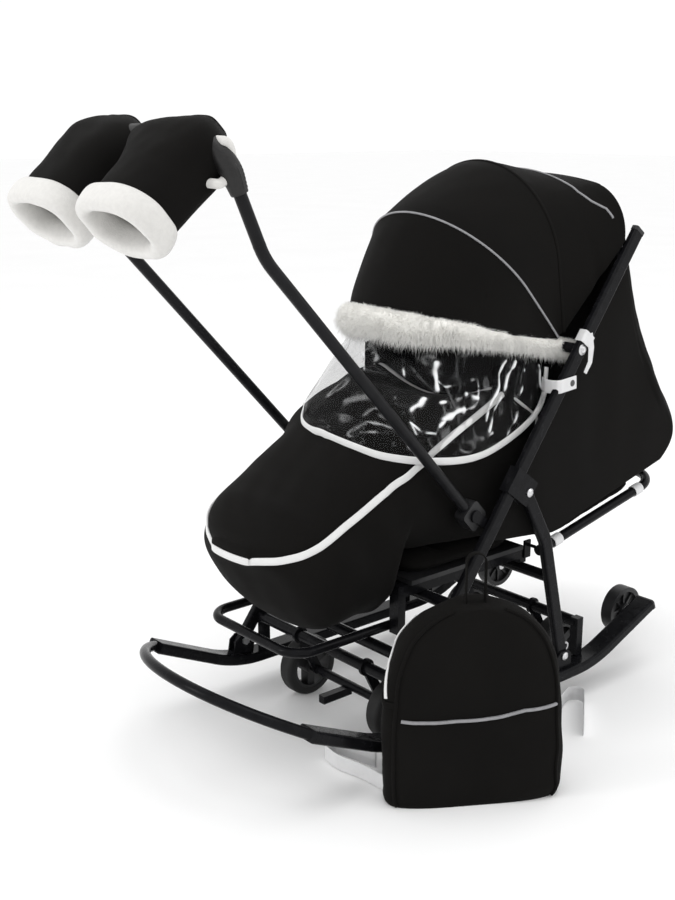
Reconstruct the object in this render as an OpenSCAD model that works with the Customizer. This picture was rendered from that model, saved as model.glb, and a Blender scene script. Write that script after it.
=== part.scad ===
// Sled stroller with retractable wheels, a reversible handle, a folding hood and a reclining bed.
// Millimetres, +Z up. The foot end points to -Y and the child's left is +X.
// The origin lies on the floor, midway between the wheel axles, with the wheels lowered.

/* [Runners] */
// Distance between the runners' middles
track = 420; // [380:5:460]
// Width of a runner tube
runner_w = 40; // [34:1:46]
// Height of a runner tube
runner_h = 20; // [16:1:24]
// Corner radius of a runner tube
runner_edge = 5; // [2:0.5:7]
// Height of the runners' soles above the floor with the wheels lowered
ride_h = 48; // [44:1:52]
// Where the flat sole starts, at the foot end
sole_front = -255; // [-275:5:-245]
// Where the flat sole ends, at the tail
sole_back = 140; // [135:5:170]
// Bend radius of the runners
runner_bend = 250; // [200:10:300]
// Slope of the upturned front
front_slope = 25; // [20:1:30]
// Length of the upturned front
front_ramp = 128; // [100:2:150]
// Slope of the upturned tail
tail_slope = 22; // [18:1:26]
// Length of the upturned tail
tail_ramp = 133; // [110:2:150]
// Diameter of the front arch
arch_d = 18; // [14:1:20]
// Reach of the front arch beyond the runners
arch_reach = 112; // [80:2:130]

/* [Frame tubes] */
// Sideways thickness of the main tubes and rear legs
tube_w = 13; // [11:0.5:15]
// Depth of the main tubes and rear legs
tube_d = 25; // [20:1:28]
// Corner radius of these tubes
tube_edge = 4; // [2:0.5:5]
// Turn of the main tubes' foot brackets on the rising runners
foot_turn = 9.5; // [7:0.5:12]
// Height of the foot bolts above the runners
foot_rise = 24; // [22:1:28]
// Slope of the main tubes
main_slope = 53.3; // [51:0.1:55]
// Length of the main tubes above their foot bolts
main_len = 920; // [880:5:960]
// Where the rear legs' foot bolts are
leg_foot = 109; // [100:1:115]
// Lean of the lower rear leg
leg_lean = 14; // [12:0.5:16]
// Length of the lower rear leg
leg_low = 237; // [225:1:250]
// Bend in the rear leg
leg_turn = 16; // [12:0.5:18]
// Length of the upper rear leg, up to its bolt
leg_up = 114; // [106:1:120]
// Bend radius of the rear leg
leg_bend = 60; // [40:5:90]
// Diameter of the cross tubes
cross_d = 20; // [16:1:22]
// Height of the lower cross tube along the main tubes
lower_cross_at = 92; // [86:1:100]
// Height of the seat bar along the main tubes
seat_bar_at = 202; // [198:1:207]
// Diameter of the frame bolts
bolt_d = 8; // [6:0.5:9]

/* [Wheels] */
// Diameter of the road wheels
wheel_d = 110; // [100:1:112]
// Width of the road wheels
wheel_w = 32; // [26:1:36]
// Distance from a runner's middle in to a road wheel's middle
wheel_in = 93; // [90:1:96]
// Distance of each axle from the origin
axle_y = 211; // [205:1:217]
// Distance from a swing axle's pivot forward of the axle
swing_lead = 40; // [34:1:46]
// Height of the swing pivots above the axles
swing_rise = 78; // [72:1:84]
// Depth of a road tyre
tyre_depth = 14; // [10:0.5:16]
// Number of spokes in a road wheel
spokes = 3; // [3:1:5]
// Diameter of the tail wheels
tail_wheel_d = 90; // [80:1:94]
// Width of the tail wheels
tail_wheel_w = 24; // [18:1:26]
// Number of ribs on a tail wheel
tail_ribs = 8; // [6:1:10]
// Diameter of the axle beams
beam_d = 16; // [14:1:18]
// Diameter of the wheel spindles
spindle_d = 10; // [8:1:12]

/* [Handle] */
// Diameter of the handle tube
handle_d = 18; // [16:1:20]
// Distance from a main tube's inner side to a handle arm's middle
handle_in = 15.5; // [15:0.5:16.5]
// Height of the handle pivot along the main tubes
handle_at = 347; // [336:1:356]
// Distance of the handle pivot in front of the main tubes
handle_ahead = 38; // [34:1:42]
// Slope of the lower handle arm in its front position
handle_slope = 47.1; // [45:0.1:49]
// Length of the lower handle arm
handle_low = 607; // [580:1:620]
// Bend in the handle arm
handle_turn = 19; // [14:0.5:24]
// Bend radius of the handle arm
handle_bend = 120; // [80:5:160]
// Length of the upper handle arm
handle_up = 179; // [165:1:190]
// Corner radius of the handle
handle_corner = 60; // [45:1:70]
// Side of the square pivot housing
housing = 40; // [36:1:44]
// Thickness of the grip sleeve
grip_wall = 2; // [1:0.25:3]

/* [Hood] */
// Height of the hood pivot along the main tubes
hood_at = 687; // [665:1:705]
// Distance from a main tube's inner side to the front bow's eye
bow_in = 33.5; // [32:0.5:38]
// Sideways step from one bow to the next
bow_step = 6.5; // [6:0.25:7]
// Thickness of a bow strip
bow_t = 4; // [3:0.25:4]
// Width of a bow strip
bow_w = 10; // [8:0.5:12]
// Inward lean of the bows' legs
bow_lean = 3; // [2:0.1:5]
// Slope of the front bow
front_bow_slope = 15.5; // [13:0.5:18]
// Reach of the front bow
front_bow_l = 275; // [262:1:288]
// Slope of the middle bow
mid_bow_slope = 48; // [44:1:52]
// Reach of the middle bow
mid_bow_l = 295; // [282:1:308]
// Slope of the top bow
top_bow_slope = 83; // [80:1:86]
// Reach of the top bow
top_bow_l = 300; // [286:2:308]
// Diameter of the rear arch tube
rear_arch_d = 12; // [10:0.5:13]
// Height of the rear arch's feet along the main tubes
rear_arch_at = 868; // [855:1:875]
// Height of the rear arch's straight legs
rear_arch_leg = 39; // [34:1:46]
// Corner radius of the rear arch
rear_arch_corner = 74; // [66:1:82]
// Corner bend of the rear arch
rear_arch_turn = 79.5; // [76:0.5:82]
// Thickness of the sewn cloth
cloth_t = 2; // [1.5:0.25:3]
// Diameter of the fur roll
fur_d = 38; // [34:1:38]

/* [Seat and bed] */
// Distance from a runner's middle in to a seat rail's middle
rail_in = 70; // [66:1:78]
// Width of a seat rail
rail_w = 15; // [12:1:18]
// Height of a seat rail
rail_h = 20; // [16:1:22]
// Front end of the seat
seat_front = -212; // [-216:1:-206]
// Length of the seat
seat_len = 272; // [262:1:276]
// Distance from a runner's middle in to the seat's edge
seat_side = 55; // [52:1:60]
// Thickness of the seat board
board_t = 8; // [6:0.5:10]
// Thickness of the seat pad at its edge
pad_t = 26; // [20:1:28]
// Crown of the seat pad
pad_crown = 6; // [3:0.5:8]
// Height of the backrest hinge above the seat rails
bed_hinge_up = 24; // [22:1:28]
// Where the backrest hinge is
bed_hinge = 78; // [76:1:84]
// Slope of the lowered backrest
bed_slope = 12; // [10:0.5:14]
// Length of the backrest frame
bed_len = 340; // [320:2:350]
// Distance from a main tube's inner side to the backrest tube's middle
bed_in = 22.5; // [21.5:0.5:26]
// Diameter of the backrest tube
bed_d = 18; // [16:1:19]
// Corner radius of the backrest frame
bed_corner = 55; // [45:1:65]
// Distance from a runner's middle in to the footrest tube's middle
foot_in = 92; // [88:1:98]
// Diameter of the footrest tube
foot_d = 16; // [14:1:18]
// Length of the footrest
foot_len = 200; // [180:2:215]

/* [Soft goods] */
// Front end of the footmuff
muff_front = -459; // [-464:1:-454]
// Length of the footmuff
muff_len = 426; // [420:1:430]
// Distance from a runner's middle in to the footmuff's side
muff_side = 48.5; // [46:0.5:54]
// Height of the footmuff
muff_h = 382; // [374:2:390]
// Wall of the padded soft goods
muff_wall = 12; // [8:1:15]
// Width of a hand muff
mitt_w = 150; // [138:2:154]
// Length of a hand muff
mitt_len = 184; // [172:2:194]
// Depth of a hand muff
mitt_d = 98; // [92:2:106]

/* [Bag] */
// Width of the bag
bag_w = 288; // [270:2:292]
// Depth of the bag
bag_d = 80; // [72:1:82]
// Height of the bag
bag_h = 321; // [306:1:336]
// Turn of the bag about the vertical
bag_turn = 58; // [57:0.5:60]
// Width of the bag's webbing
webbing_w = 28; // [20:1:32]
// Thickness of the bag's webbing
webbing_t = 3; // [2:0.5:4]

/* [Hidden] */
$fn = 48;

// Clearances: running fits, faces that stay apart, and the overrun of every cut
run_gap = 0.05;
gap = 0.3;
over = 1;
frame_colour = [0.03, 0.03, 0.035];
plastic_colour = [0.06, 0.06, 0.065];
cloth_colour = [0.02, 0.02, 0.022];
zinc_colour = [0.75, 0.75, 0.76];
white_colour = [0.93, 0.93, 0.92];
fur_colour = [0.92, 0.91, 0.88];
clear_colour = [0.8, 0.85, 0.9, 0.4];

// Runner heights and the ends of its path
runner_top = ride_h + runner_h;
runner_mid = ride_h + runner_h / 2;
front_turn_y = runner_bend * sin(front_slope);
front_turn_z = runner_bend * (1 - cos(front_slope));
front_end = [sole_front - front_turn_y - front_ramp * cos(front_slope),
    runner_mid + front_turn_z + front_ramp * sin(front_slope)];
tail_end = [sole_back + runner_bend * sin(tail_slope) + tail_ramp * cos(tail_slope),
    runner_mid + runner_bend * (1 - cos(tail_slope)) + tail_ramp * sin(tail_slope)];
cap_t = 4;
cap_lip = 0.5;
runner_lap = 10;
arch_half = track / 2;
arch_radius = (pow(arch_half, 2) + pow(arch_reach, 2)) / (2 * arch_reach);
arch_turn = asin(arch_half / arch_radius);
arch_extra = asin(arch_d / arch_radius);

// Main tube, in its own plane: places along it and ahead of it
main_bracket = 44;
foot_lift = pow(main_bracket, 2) / (8 * (runner_bend - runner_h / 2)) + run_gap;
foot_radius = runner_bend - runner_h / 2 - foot_rise - foot_lift;
main_foot = sole_front - foot_radius * sin(foot_turn);
main_foot_z = runner_mid + runner_bend - foot_radius * cos(foot_turn);
leg_foot_z = runner_top + foot_rise;
foot_tail = 14;
inner_x = track / 2 - tube_w / 2;
handle_x = inner_x - handle_in;
wheel_x = track / 2 - wheel_in;
bow_x = inner_x - bow_in;
function main_at(along, ahead = 0) = [main_foot + along * cos(main_slope) - ahead * sin(main_slope),
    main_foot_z + along * sin(main_slope) + ahead * cos(main_slope)];
tube_cap_t = 7;
leg_bracket = 38;
bracket_bevel = 45;
bracket_rim = 2;

// Rear leg and the saddle that carries it
leg_top = [leg_foot - leg_low * sin(leg_lean) - leg_up * sin(leg_lean + leg_turn),
    leg_foot_z + leg_low * cos(leg_lean) + leg_up * cos(leg_lean + leg_turn)];
leg_trim = leg_bend * tan(leg_turn / 2);
saddle_along = (leg_top[0] - main_foot) * cos(main_slope) + (leg_top[1] - main_foot_z) * sin(main_slope);
saddle_behind = (leg_top[0] - main_foot) * sin(main_slope) - (leg_top[1] - main_foot_z) * cos(main_slope);
saddle_len = 46;
plate_t = 3;
bolt_head_d = 15;
bolt_head_t = 4.5;
screw_d = 5;
bar_up = 162;
leg_bar = [leg_foot - bar_up * sin(leg_lean), leg_foot_z + bar_up * cos(leg_lean)];

// Swing axles and wheels
axle_z = wheel_d / 2;
swing_z = axle_z + swing_rise;
strut_w = 16;
function strut_foot(y) =
    let (past = max(0, y + strut_w / 2 - sole_back, sole_front - y + strut_w / 2))
    runner_mid + runner_bend - sqrt(pow(runner_bend - runner_h / 2, 2) - pow(past, 2));
strut_x = inner_x - gap - strut_w / 2;
link_t = 6;
link_in = 12;
link_x = wheel_x - wheel_w / 2 - link_in;
link_wall = 5;
link_r = cross_d / 2 + link_wall;
link_w = 18;
shoulder_x = wheel_x - wheel_w / 2 - gap;
nut_t = 7;
nut_r = 9;
pedal_w = 14;
pedal_reach = 64;
pedal_drop = 8;
rim_r = wheel_d / 2 - tyre_depth;
rim_t = 5;
rim_in = 1;
tyre_fit = 0.1;
hub_r = 14;
spoke_w = 15;
spoke_t = 20;
tyre_round = 8;
tail_spacer = 15;
tail_x = (track - runner_w) / 2 - tail_spacer - gap - tail_wheel_w / 2;
tail_back = 11;
tail_drop = 18;
tail_lug_t = 6;
tail_lug_w = 20;
tail_wheel_y = tail_end[0] - tail_back;
tail_wheel_z = tail_end[1] - tail_back * tan(tail_slope) - tail_drop;
tail_hub_r = 12;
tail_rim_t = 9;
tail_web_t = 6;
tail_rib_w = 4;
tail_rib_t = 14;

// Handle path: arm, bend, upper arm, corner, half of the crossbar
handle_pivot = main_at(handle_at, handle_ahead);
housing_t = 22;
housing_round = 7;
handle_start = housing / 2;
handle_trim = handle_bend * tan(handle_turn / 2);
cross_half = handle_x - handle_corner;
grip_start = 70;
pin_r = 5;
handle_plate_rim = 3;
plate_inset = 2;
bend_point = [handle_pivot[0] - handle_low * cos(handle_slope), handle_pivot[1] + handle_low * sin(handle_slope)];
bar_point = [bend_point[0] - handle_up * cos(handle_slope + handle_turn),
    bend_point[1] + handle_up * sin(handle_slope + handle_turn)];

// Hood pivot and the outline of a bow: a leaning leg and a round crown
hood_pivot = main_at(hood_at);
hood_pin_r = 4;
eye_r = 9;
hood_pin_head = 3;
function crown_r(half, reach) = (half - reach * tan(bow_lean)) * cos(bow_lean) / (1 - sin(bow_lean));
function leg_len(half, reach) =
    (reach - crown_r(half, reach) * (1 - sin(bow_lean))) / cos(bow_lean);
function bow_point(half, reach, share) =
    let (r = crown_r(half, reach), leg = leg_len(half, reach), side = share < 0 ? -1 : 1, s = 1 - abs(share))
    s < leg_share ? [side * (half - s / leg_share * leg * sin(bow_lean)), s / leg_share * leg * cos(bow_lean)]
    : let (a = bow_lean + (s - leg_share) / (1 - leg_share) * (90 - bow_lean))
        [side * r * cos(a), reach - r + r * sin(a)];
leg_share = 0.4;
function on_bow(slope, flat, lift = 0) = [flat[0], hood_pivot[0] - flat[1] * cos(slope) - lift * sin(slope),
    hood_pivot[1] + flat[1] * sin(slope) - lift * cos(slope)];
cover_off = 6;
cover_base_share = 0.93;
cover_cols = 14;
cover_rows = 4;
cover_sag = 3.8;
rear_arch_foot = main_at(rear_arch_at);
rear_arch_x = inner_x - gap - rear_arch_d / 2;
rear_crown_turn = 2 * (90 - rear_arch_turn);
rear_crown_r = (rear_arch_x - rear_arch_corner * (1 - cos(rear_arch_turn))) / sin(rear_crown_turn / 2);
fur_below = fur_d / 2 + bow_w / 2 + gap;
fur_start = 16;
fur_in = 8;
fur_out = 8;
arch_base_share = 0.85;
arch_leg_share = 0.2;
arch_corner_share = 0.7;
sag_share = 0.8;
arch_sides = 144;
weld = 0.15;
weld_len = 4;

// Seat heights, from the seat bar up
seat_bar_pos = main_at(seat_bar_at);
rail_x = track / 2 - rail_in;
seat_w = track - 2 * seat_side;
bed_x = inner_x - bed_in;
foot_x = track / 2 - foot_in;
rail_z = seat_bar_pos[1] + cross_d / 2;
board_z = rail_z + rail_h;
pad_z = board_z + board_t;
rail_ahead = 6;
rail_front = seat_front - rail_ahead;
rail_back = leg_bar[0] + rail_w / 2;
bed_hinge_z = rail_z + bed_hinge_up;
foot_lead = 8;
foot_drop = 56;
foot_hinge = [rail_front - foot_lead, rail_z - foot_drop];
foot_corner = 40;
hinge_pin_d = 6;
lug_w = 16;
bed_pad_bulge = 0.7;
bed_pad_short = 40;
bed_pad_sink = 2;
bed_strap_places = [28, 262];
strap_w = 22;
strap_t = 1.5;

// Footmuff outline: each pair is a share of its length and a share of its height or half-width
muff_z = foot_hinge[1] + foot_d / 2 + gap;
muff_w = track - 2 * muff_side;
muff_top_shares = [[0, 0.42], [0.05, 0.448], [0.12, 0.556], [0.25, 0.642], [0.45, 0.794], [0.65, 0.921],
    [0.85, 0.972], [1, 1]];
muff_low_shares = [[0, 0.348], [0.05, 0.3], [0.12, 0.134], [0.2, 0.03], [0.25, 0], [0.5, 0], [0.545, 0.2825],
    [1, 0.2825]];
muff_wide_shares = [[0, 0.3], [0.02, 0.42], [0.05, 0.605], [0.1, 0.814], [0.15, 0.934], [0.2, 0.992], [0.23, 1],
    [1, 1]];
muff_rows = 22;
muff_cols = 24;
muff_power_share = 0.79;

// Bed curtain: rows from the main tubes down to the backrest frame
curtain_x = inner_x - plate_t - bolt_head_t - 2 * gap;
curtain_gap = 22;
curtain_rows = 6;
curtain_cols = 16;
curtain_folds = 9;
fold_depth = 4;
curtain_bulge = 55;
curtain_low = 325;
curtain_past = 26;
curtain_corner = 40;
curtain_lift = 34;
curtain_start = 14;
side_share = 0.42;
back_full_share = 0.45;
back_end_share = 0.75;

// Hand muffs
mitt_in = 89;
mitt_x = handle_x - mitt_in;
mitt_slope = 43;
mitt_over = 33;
mitt_drop = 23.6;
mitt_power_share = 0.8;
mitt_rows = 6;
mitt_cols = 20;
mitt_round_share = 0.45;
mitt_wide_share = 0.75;
mitt_deep_share = 0.8;
mitt_tip_share = 0.04;
mitt_hollow_share = 0.14;

// Bag
bag_clear = 116;
bag_place = [track / 2 + bag_clear, -244];
bag_rows = 12;
bag_cols = 28;
bag_round_share = 0.6;
bag_arch_share = 0.525;
bag_slim_share = 0.96;
bag_top_share = 0.85;
bag_foot_share = 0.93;
bag_head_share = 0.48;
bag_arch_power = 2.45;
bag_lean_power = 1.5;
strap_r = 16;
half_turn = 180;
strap_turn = 170;
strap_angles = [126, 60];
strap_lengths = [[130, 70], [250, 120]];
strap_rolls = [0, half_turn];
strap_start_shares = [[-0.9, 0.5], [0.75, 0.76]];
loop_r = 15;
loop_w = 12;
loop_up = 66;

// Window: rows from the fur down to its lower edge
window_cols = 12;
window_rows = 5;
window_clear = 9.5;
window_x = muff_w / 2 + window_clear;
window_in = 4;
window_short = 10;
window_back = 81;
window_front = -277;
window_low_z = 485;
window_rise = 92;
window_out_shares = [[0, 0], [0.035, 0.105], [0.157, 0.468], [0.236, 0.678], [0.309, 0.848], [0.39, 0.942],
    [0.5, 0.974], [0.581, 0.982], [0.658, 0.994], [0.743, 1], [1, 1]];
window_back_shares = [[0, 0], [0.035, 0.0045], [0.157, 0.017], [0.236, 0.061], [0.309, 0.127], [0.39, 0.232],
    [0.5, 0.385], [0.581, 0.503], [0.658, 0.612], [0.743, 0.729], [0.836, 0.852], [0.911, 0.944], [0.964, 0.989],
    [1, 1]];
window_rise_shares = [[0, 0.457], [0.035, 0.423], [0.157, 0.351], [0.236, 0.25], [0.309, 0.204], [0.39, 0.136],
    [0.5, 0.038], [0.581, 0], [0.658, 0.033], [0.743, 0.163], [0.836, 0.348], [0.911, 0.565], [0.964, 0.804],
    [1, 1]];
window_bow = 14;

// General helpers

// Draws its children and their mirror image in the centre plane
module both() {
    children();
    mirror([1, 0, 0]) children();
}

// Rectangle with round corners, centred
module round_rect(w, h, r) {
    square([w - 2 * r, h], center = true);
    square([w, h - 2 * r], center = true);
    for (x = [-1, 1], y = [-1, 1])
        translate([x * (w / 2 - r), y * (h / 2 - r)]) circle(r);
}

// Section of a tube: round, sharp-cornered or with round corners
module section(w, d, r) {
    if (r == 0) square([w, d], center = true);
    else if (2 * r >= w) circle(d = w);
    else round_rect(w, d, r);
}

// Tube along runs of [straight, turn, bend radius, roll], from the origin along +Z and turning towards +Y
module bent_tube(runs, w, d, r, i = 0) {
    straight = runs[i][0];
    turn = runs[i][1];
    radius = runs[i][2];
    if (straight > 0)
        linear_extrude(straight) section(w, d, r);
    if (turn > 0)
        translate([0, 0, straight]) rotate(runs[i][3]) {
            translate([0, radius, 0]) rotate([90, 0, -90])
                rotate_extrude(angle = turn) translate([radius, 0]) rotate(90) section(w, d, r);
            translate([0, radius, 0]) rotate([-turn, 0, 0]) translate([0, -radius, 0]) {
                if (turn != 90)
                    translate([0, 0, -weld_len / 2]) linear_extrude(weld_len)
                        section(w + 2 * weld, d + 2 * weld, r == 0 ? 0 : r + weld);
                bent_tube(runs, w, d, r, i + 1);
            }
        }
}

// Round bar along X between two places
module bar_x(x0, x1, place, d) {
    translate([x0, place[0], place[1]]) rotate([0, 90, 0]) cylinder(h = x1 - x0, d = d);
}

// Puts children in the frame of the left main tube: +Z along the tube, +Y behind it
module on_main(along = 0) {
    translate([track / 2, main_foot, main_foot_z]) rotate([main_slope - 90, 0, 0])
        translate([0, 0, along]) children();
}

// Puts children in the frame of the left rear leg's foot: +Z up along the leg, +Y ahead of it
module on_leg(along = 0) {
    translate([track / 2, leg_foot, leg_foot_z]) rotate([0, 0, 180]) rotate([-leg_lean, 0, 0])
        translate([0, 0, along]) children();
}

function flat_list(rows) = [for (row = rows) for (p = row) p];
function mix(a, b, s) = a * (1 - s) + b * s;

// Thin sheet between two equal grids of points
module sheet(outer, inner) {
    m = len(outer);
    n = len(outer[0]);
    k = m * n;
    quads = concat(
        [for (i = [0 : m - 2], j = [0 : n - 2]) [i * n + j, i * n + j + 1, (i + 1) * n + j + 1, (i + 1) * n + j]],
        [for (i = [0 : m - 2], j = [0 : n - 2])
            [k + i * n + j, k + (i + 1) * n + j, k + (i + 1) * n + j + 1, k + i * n + j + 1]],
        [for (j = [0 : n - 2]) [j + 1, j, k + j, k + j + 1]],
        [for (j = [0 : n - 2]) let (b = (m - 1) * n) [b + j, b + j + 1, k + b + j + 1, k + b + j]],
        [for (i = [0 : m - 2]) [i * n, (i + 1) * n, k + (i + 1) * n, k + i * n]],
        [for (i = [0 : m - 2]) let (b = n - 1) [(i + 1) * n + b, i * n + b, k + i * n + b, k + (i + 1) * n + b]]);
    polyhedron(concat(flat_list(outer), flat_list(inner)),
        [for (q = quads) each [[q[0], q[1], q[2]], [q[0], q[2], q[3]]]]);
}

// Closed skin through rings of equal count, capped at both ends
module skin(rings) {
    m = len(rings);
    n = len(rings[0]);
    quads = [for (i = [0 : m - 2], j = [0 : n - 1]) let (h = (j + 1) % n)
        [i * n + j, i * n + h, (i + 1) * n + h, (i + 1) * n + j]];
    polyhedron(flat_list(rings), concat(
        [for (q = quads) each [[q[0], q[1], q[2]], [q[0], q[2], q[3]]]],
        [for (j = [1 : n - 2]) [0, j + 1, j]],
        [for (j = [1 : n - 2]) let (b = (m - 1) * n) [b, b + j, b + j + 1]]));
}

// Ring of a super-ellipse, as [across, up] pairs
function ring(half_w, half_h, power, cols) = [for (j = [0 : cols - 1]) let (a = 360 * j / cols)
    [half_w * sign(cos(a)) * pow(abs(cos(a)), power), half_h * sign(sin(a)) * pow(abs(sin(a)), power)]];

// Padded block with a crowned top, a crowned underside and drawn-in sides, centred on its foot
module cushion(w, l, h, crown) {
    rise_shares = [0, 0.08, 0.3, 0.5, 0.7, 0.92, 1];
    out_shares = [0.86, 0.955, 0.99, 1, 0.99, 0.955, 0.86];
    body = [for (k = [0 : len(rise_shares) - 1])
        [for (p = ring(w / 2 * out_shares[k], l / 2 * out_shares[k], 0.35, 28)) [p[0], p[1], h * rise_shares[k]]]];
    crowns = [for (s = [0.6, 0.3, 0.06])
        [for (p = ring(w / 2 * s, l / 2 * s, 0.45, 28)) [p[0], p[1], h + crown * (1 - s * s)]]];
    skin(concat(body, crowns));
}

// Runners and the arch that joins them

module runner() {
    translate([track / 2, sole_back, runner_mid]) rotate([90, 0, 0])
        bent_tube([[sole_back - sole_front, front_slope, runner_bend, 0], [front_ramp, 0, 0, 0]],
            runner_w, runner_h, runner_edge);
    translate([track / 2, sole_back - runner_lap, runner_mid]) rotate([90, 0, 180])
        bent_tube([[runner_lap, tail_slope, runner_bend, 0], [tail_ramp, 0, 0, 0]],
            runner_w, runner_h, runner_edge);
}

module runner_left() {
    color(frame_colour) runner();
}

module runner_right() {
    color(frame_colour) mirror([1, 0, 0]) runner();
}

// Round tube on an arc that carries on along the slope of the runners' fronts, cut flat on their ends
module front_arch() {
    color(frame_colour)
        translate([0, front_end[0], front_end[1]]) rotate([-front_slope, 0, 0]) difference() {
            translate([0, arch_radius - arch_reach, 0])
                rotate(-90 - arch_turn - arch_extra) rotate_extrude(angle = 2 * (arch_turn + arch_extra))
                    translate([arch_radius, 0]) circle(d = arch_d);
            translate([-track, 0, -arch_d]) cube([2 * track, track, 2 * arch_d]);
        }
}

module runner_caps() {
    color(plastic_colour) both()
        translate([track / 2, tail_end[0], tail_end[1]]) rotate([tail_slope - 90, 0, 0])
            linear_extrude(cap_t) round_rect(runner_w + 2 * cap_lip, runner_h + 2 * cap_lip, runner_edge);
}

// Side frames: main tubes, rear legs and their fittings

module main_tube() {
    on_main(-foot_tail) difference() {
        linear_extrude(main_len + foot_tail) round_rect(tube_w, tube_d, tube_edge);
        translate([-tube_w, 0, foot_tail]) rotate([0, 90, 0]) cylinder(h = 2 * tube_w, d = bolt_d + 2 * run_gap);
    }
}

module main_tube_left() {
    color(frame_colour) main_tube();
}

module main_tube_right() {
    color(frame_colour) mirror([1, 0, 0]) main_tube();
}

module tube_caps() {
    color(plastic_colour) both() on_main(main_len)
        linear_extrude(tube_cap_t) round_rect(tube_w + 2 * cap_lip, tube_d + 2 * cap_lip, tube_edge);
}

// Channel on a runner with two cheeks for a foot bolt
module foot_bracket(length, lean) {
    inside = tube_w + 2 * gap;
    top = foot_rise + bolt_head_d / 2 + bracket_rim;
    difference() {
        translate([-inside / 2 - plate_t, -length / 2, 0]) cube([inside + 2 * plate_t, length, top]);
        translate([-inside / 2, -length / 2 - over, plate_t]) cube([inside, length + 2 * over, top]);
        translate([-inside, 0, foot_rise]) rotate([0, 90, 0]) cylinder(h = 2 * inside, d = bolt_d + 2 * run_gap);
        for (side = [-1, 1])
            translate([-inside, side * length / 2, top]) rotate([side * lean, 0, 0])
                translate([0, -length / 6, -length / 6]) cube([2 * inside, length / 3, length]);
    }
}

module foot_brackets() {
    color(frame_colour) both() translate([track / 2, main_foot, main_foot_z])
        rotate([-foot_turn, 0, 0]) translate([0, 0, -foot_rise]) foot_bracket(main_bracket, bracket_bevel);
}

module leg_brackets() {
    color(frame_colour) both() translate([track / 2, leg_foot, runner_top]) foot_bracket(leg_bracket, bracket_bevel);
}

// Bent leg from its foot bolt up to the bolt in the saddle
module rear_leg() {
    low = leg_low - leg_trim + foot_tail;
    difference() {
        on_leg(-foot_tail)
            bent_tube([[low, leg_turn, leg_bend, 0], [leg_up - leg_trim + foot_tail, 0, 0, 0]],
                tube_w, tube_d, tube_edge);
        for (place = [[leg_foot, leg_foot_z], leg_top])
            bar_x(track / 2 - tube_w, track / 2 + tube_w, place, bolt_d + 2 * run_gap);
    }
}

module rear_leg_left() {
    color(frame_colour) rear_leg();
}

module rear_leg_right() {
    color(frame_colour) mirror([1, 0, 0]) rear_leg();
}

// Channel wrapped round the main tube, open towards the rear leg
module saddles() {
    inside = tube_w + 2 * gap;
    front = tube_d / 2 + gap;
    reach = saddle_behind + bolt_head_d / 2 + bracket_rim;
    color(frame_colour) both() difference() {
        on_main(saddle_along - saddle_len / 2)
            translate([-inside / 2 - plate_t, -front - plate_t, 0])
                cube([inside + 2 * plate_t, front + plate_t + reach, saddle_len]);
        on_main(saddle_along - saddle_len / 2 - over)
            translate([-inside / 2, -front, 0]) cube([inside, front + reach + over, saddle_len + 2 * over]);
        bar_x(track / 2 - inside, track / 2 + inside, leg_top, bolt_d + 2 * run_gap);
    }
}

// Domed bolt with its nut, lying along X with its head outside
module frame_bolt(length, d) {
    head = bolt_head_d * d / bolt_d;
    rotate([0, 90, 0]) {
        translate([0, 0, -length / 2]) cylinder(h = length, d = d);
        translate([0, 0, length / 2]) cylinder(h = bolt_head_t / 2, d = head);
        translate([0, 0, length / 2 + bolt_head_t / 2]) cylinder(h = bolt_head_t / 2, d1 = head, d2 = head / 2);
        translate([0, 0, -length / 2 - bolt_head_t]) cylinder(h = bolt_head_t, d = head, $fn = 6);
    }
}

module frame_bolts() {
    grip = tube_w + 2 * gap + 2 * plate_t;
    color(zinc_colour) both()
        for (place = [[main_foot, main_foot_z], [leg_foot, leg_foot_z], leg_top])
            translate([track / 2, place[0], place[1]]) frame_bolt(grip, bolt_d);
}

// Cross tubes of the frame

module lower_cross_tube() {
    color(frame_colour) bar_x(-inner_x, inner_x, main_at(lower_cross_at), cross_d);
}

module seat_bar() {
    color(frame_colour) bar_x(-inner_x, inner_x, seat_bar_pos, cross_d);
}

module leg_crossbar() {
    color(frame_colour) bar_x(-inner_x, inner_x, leg_bar, cross_d);
}

// Pivot tube of a swing axle, on two struts that stand on the runners
module swing_support(y) {
    bar_x(-strut_x, strut_x, [y, swing_z], cross_d);
    both()
        translate([strut_x - strut_w / 2, y - strut_w / 2, strut_foot(y)])
            cube([strut_w, strut_w, swing_z - strut_foot(y) + cross_d / 2]);
}

module front_cross_tube() {
    color(frame_colour) swing_support(-axle_y - swing_lead);
}

module rear_cross_tube() {
    color(frame_colour) swing_support(axle_y - swing_lead);
}

// Swing axles

// Flat link with an eye on the pivot tube and an eye on the axle beam
module swing_link() {
    length = norm([swing_lead, swing_rise]);
    rotate([atan2(swing_lead, swing_rise), 0, 0]) rotate([0, 90, 0]) linear_extrude(link_t, center = true)
        difference() {
            union() {
                circle(link_r);
                translate([0, -link_w / 2]) square([length, link_w]);
                translate([length, 0]) circle(link_w / 2);
            }
            circle(cross_d / 2 + run_gap);
        }
}

// Beam with two spindles, hung on links from its pivot tube
module swing_axle(y) {
    bar_x(-shoulder_x, shoulder_x, [y, axle_z], beam_d);
    bar_x(-wheel_x - wheel_w / 2 - gap - nut_t, wheel_x + wheel_w / 2 + gap + nut_t, [y, axle_z], spindle_d);
    both() translate([link_x, y - swing_lead, swing_z]) swing_link();
}

module axle_nuts(y) {
    both() difference() {
        bar_x(wheel_x + wheel_w / 2 + gap, wheel_x + wheel_w / 2 + gap + nut_t, [y, axle_z], 2 * nut_r);
        bar_x(0, 2 * wheel_x, [y, axle_z], spindle_d + 2 * run_gap);
    }
}

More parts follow.
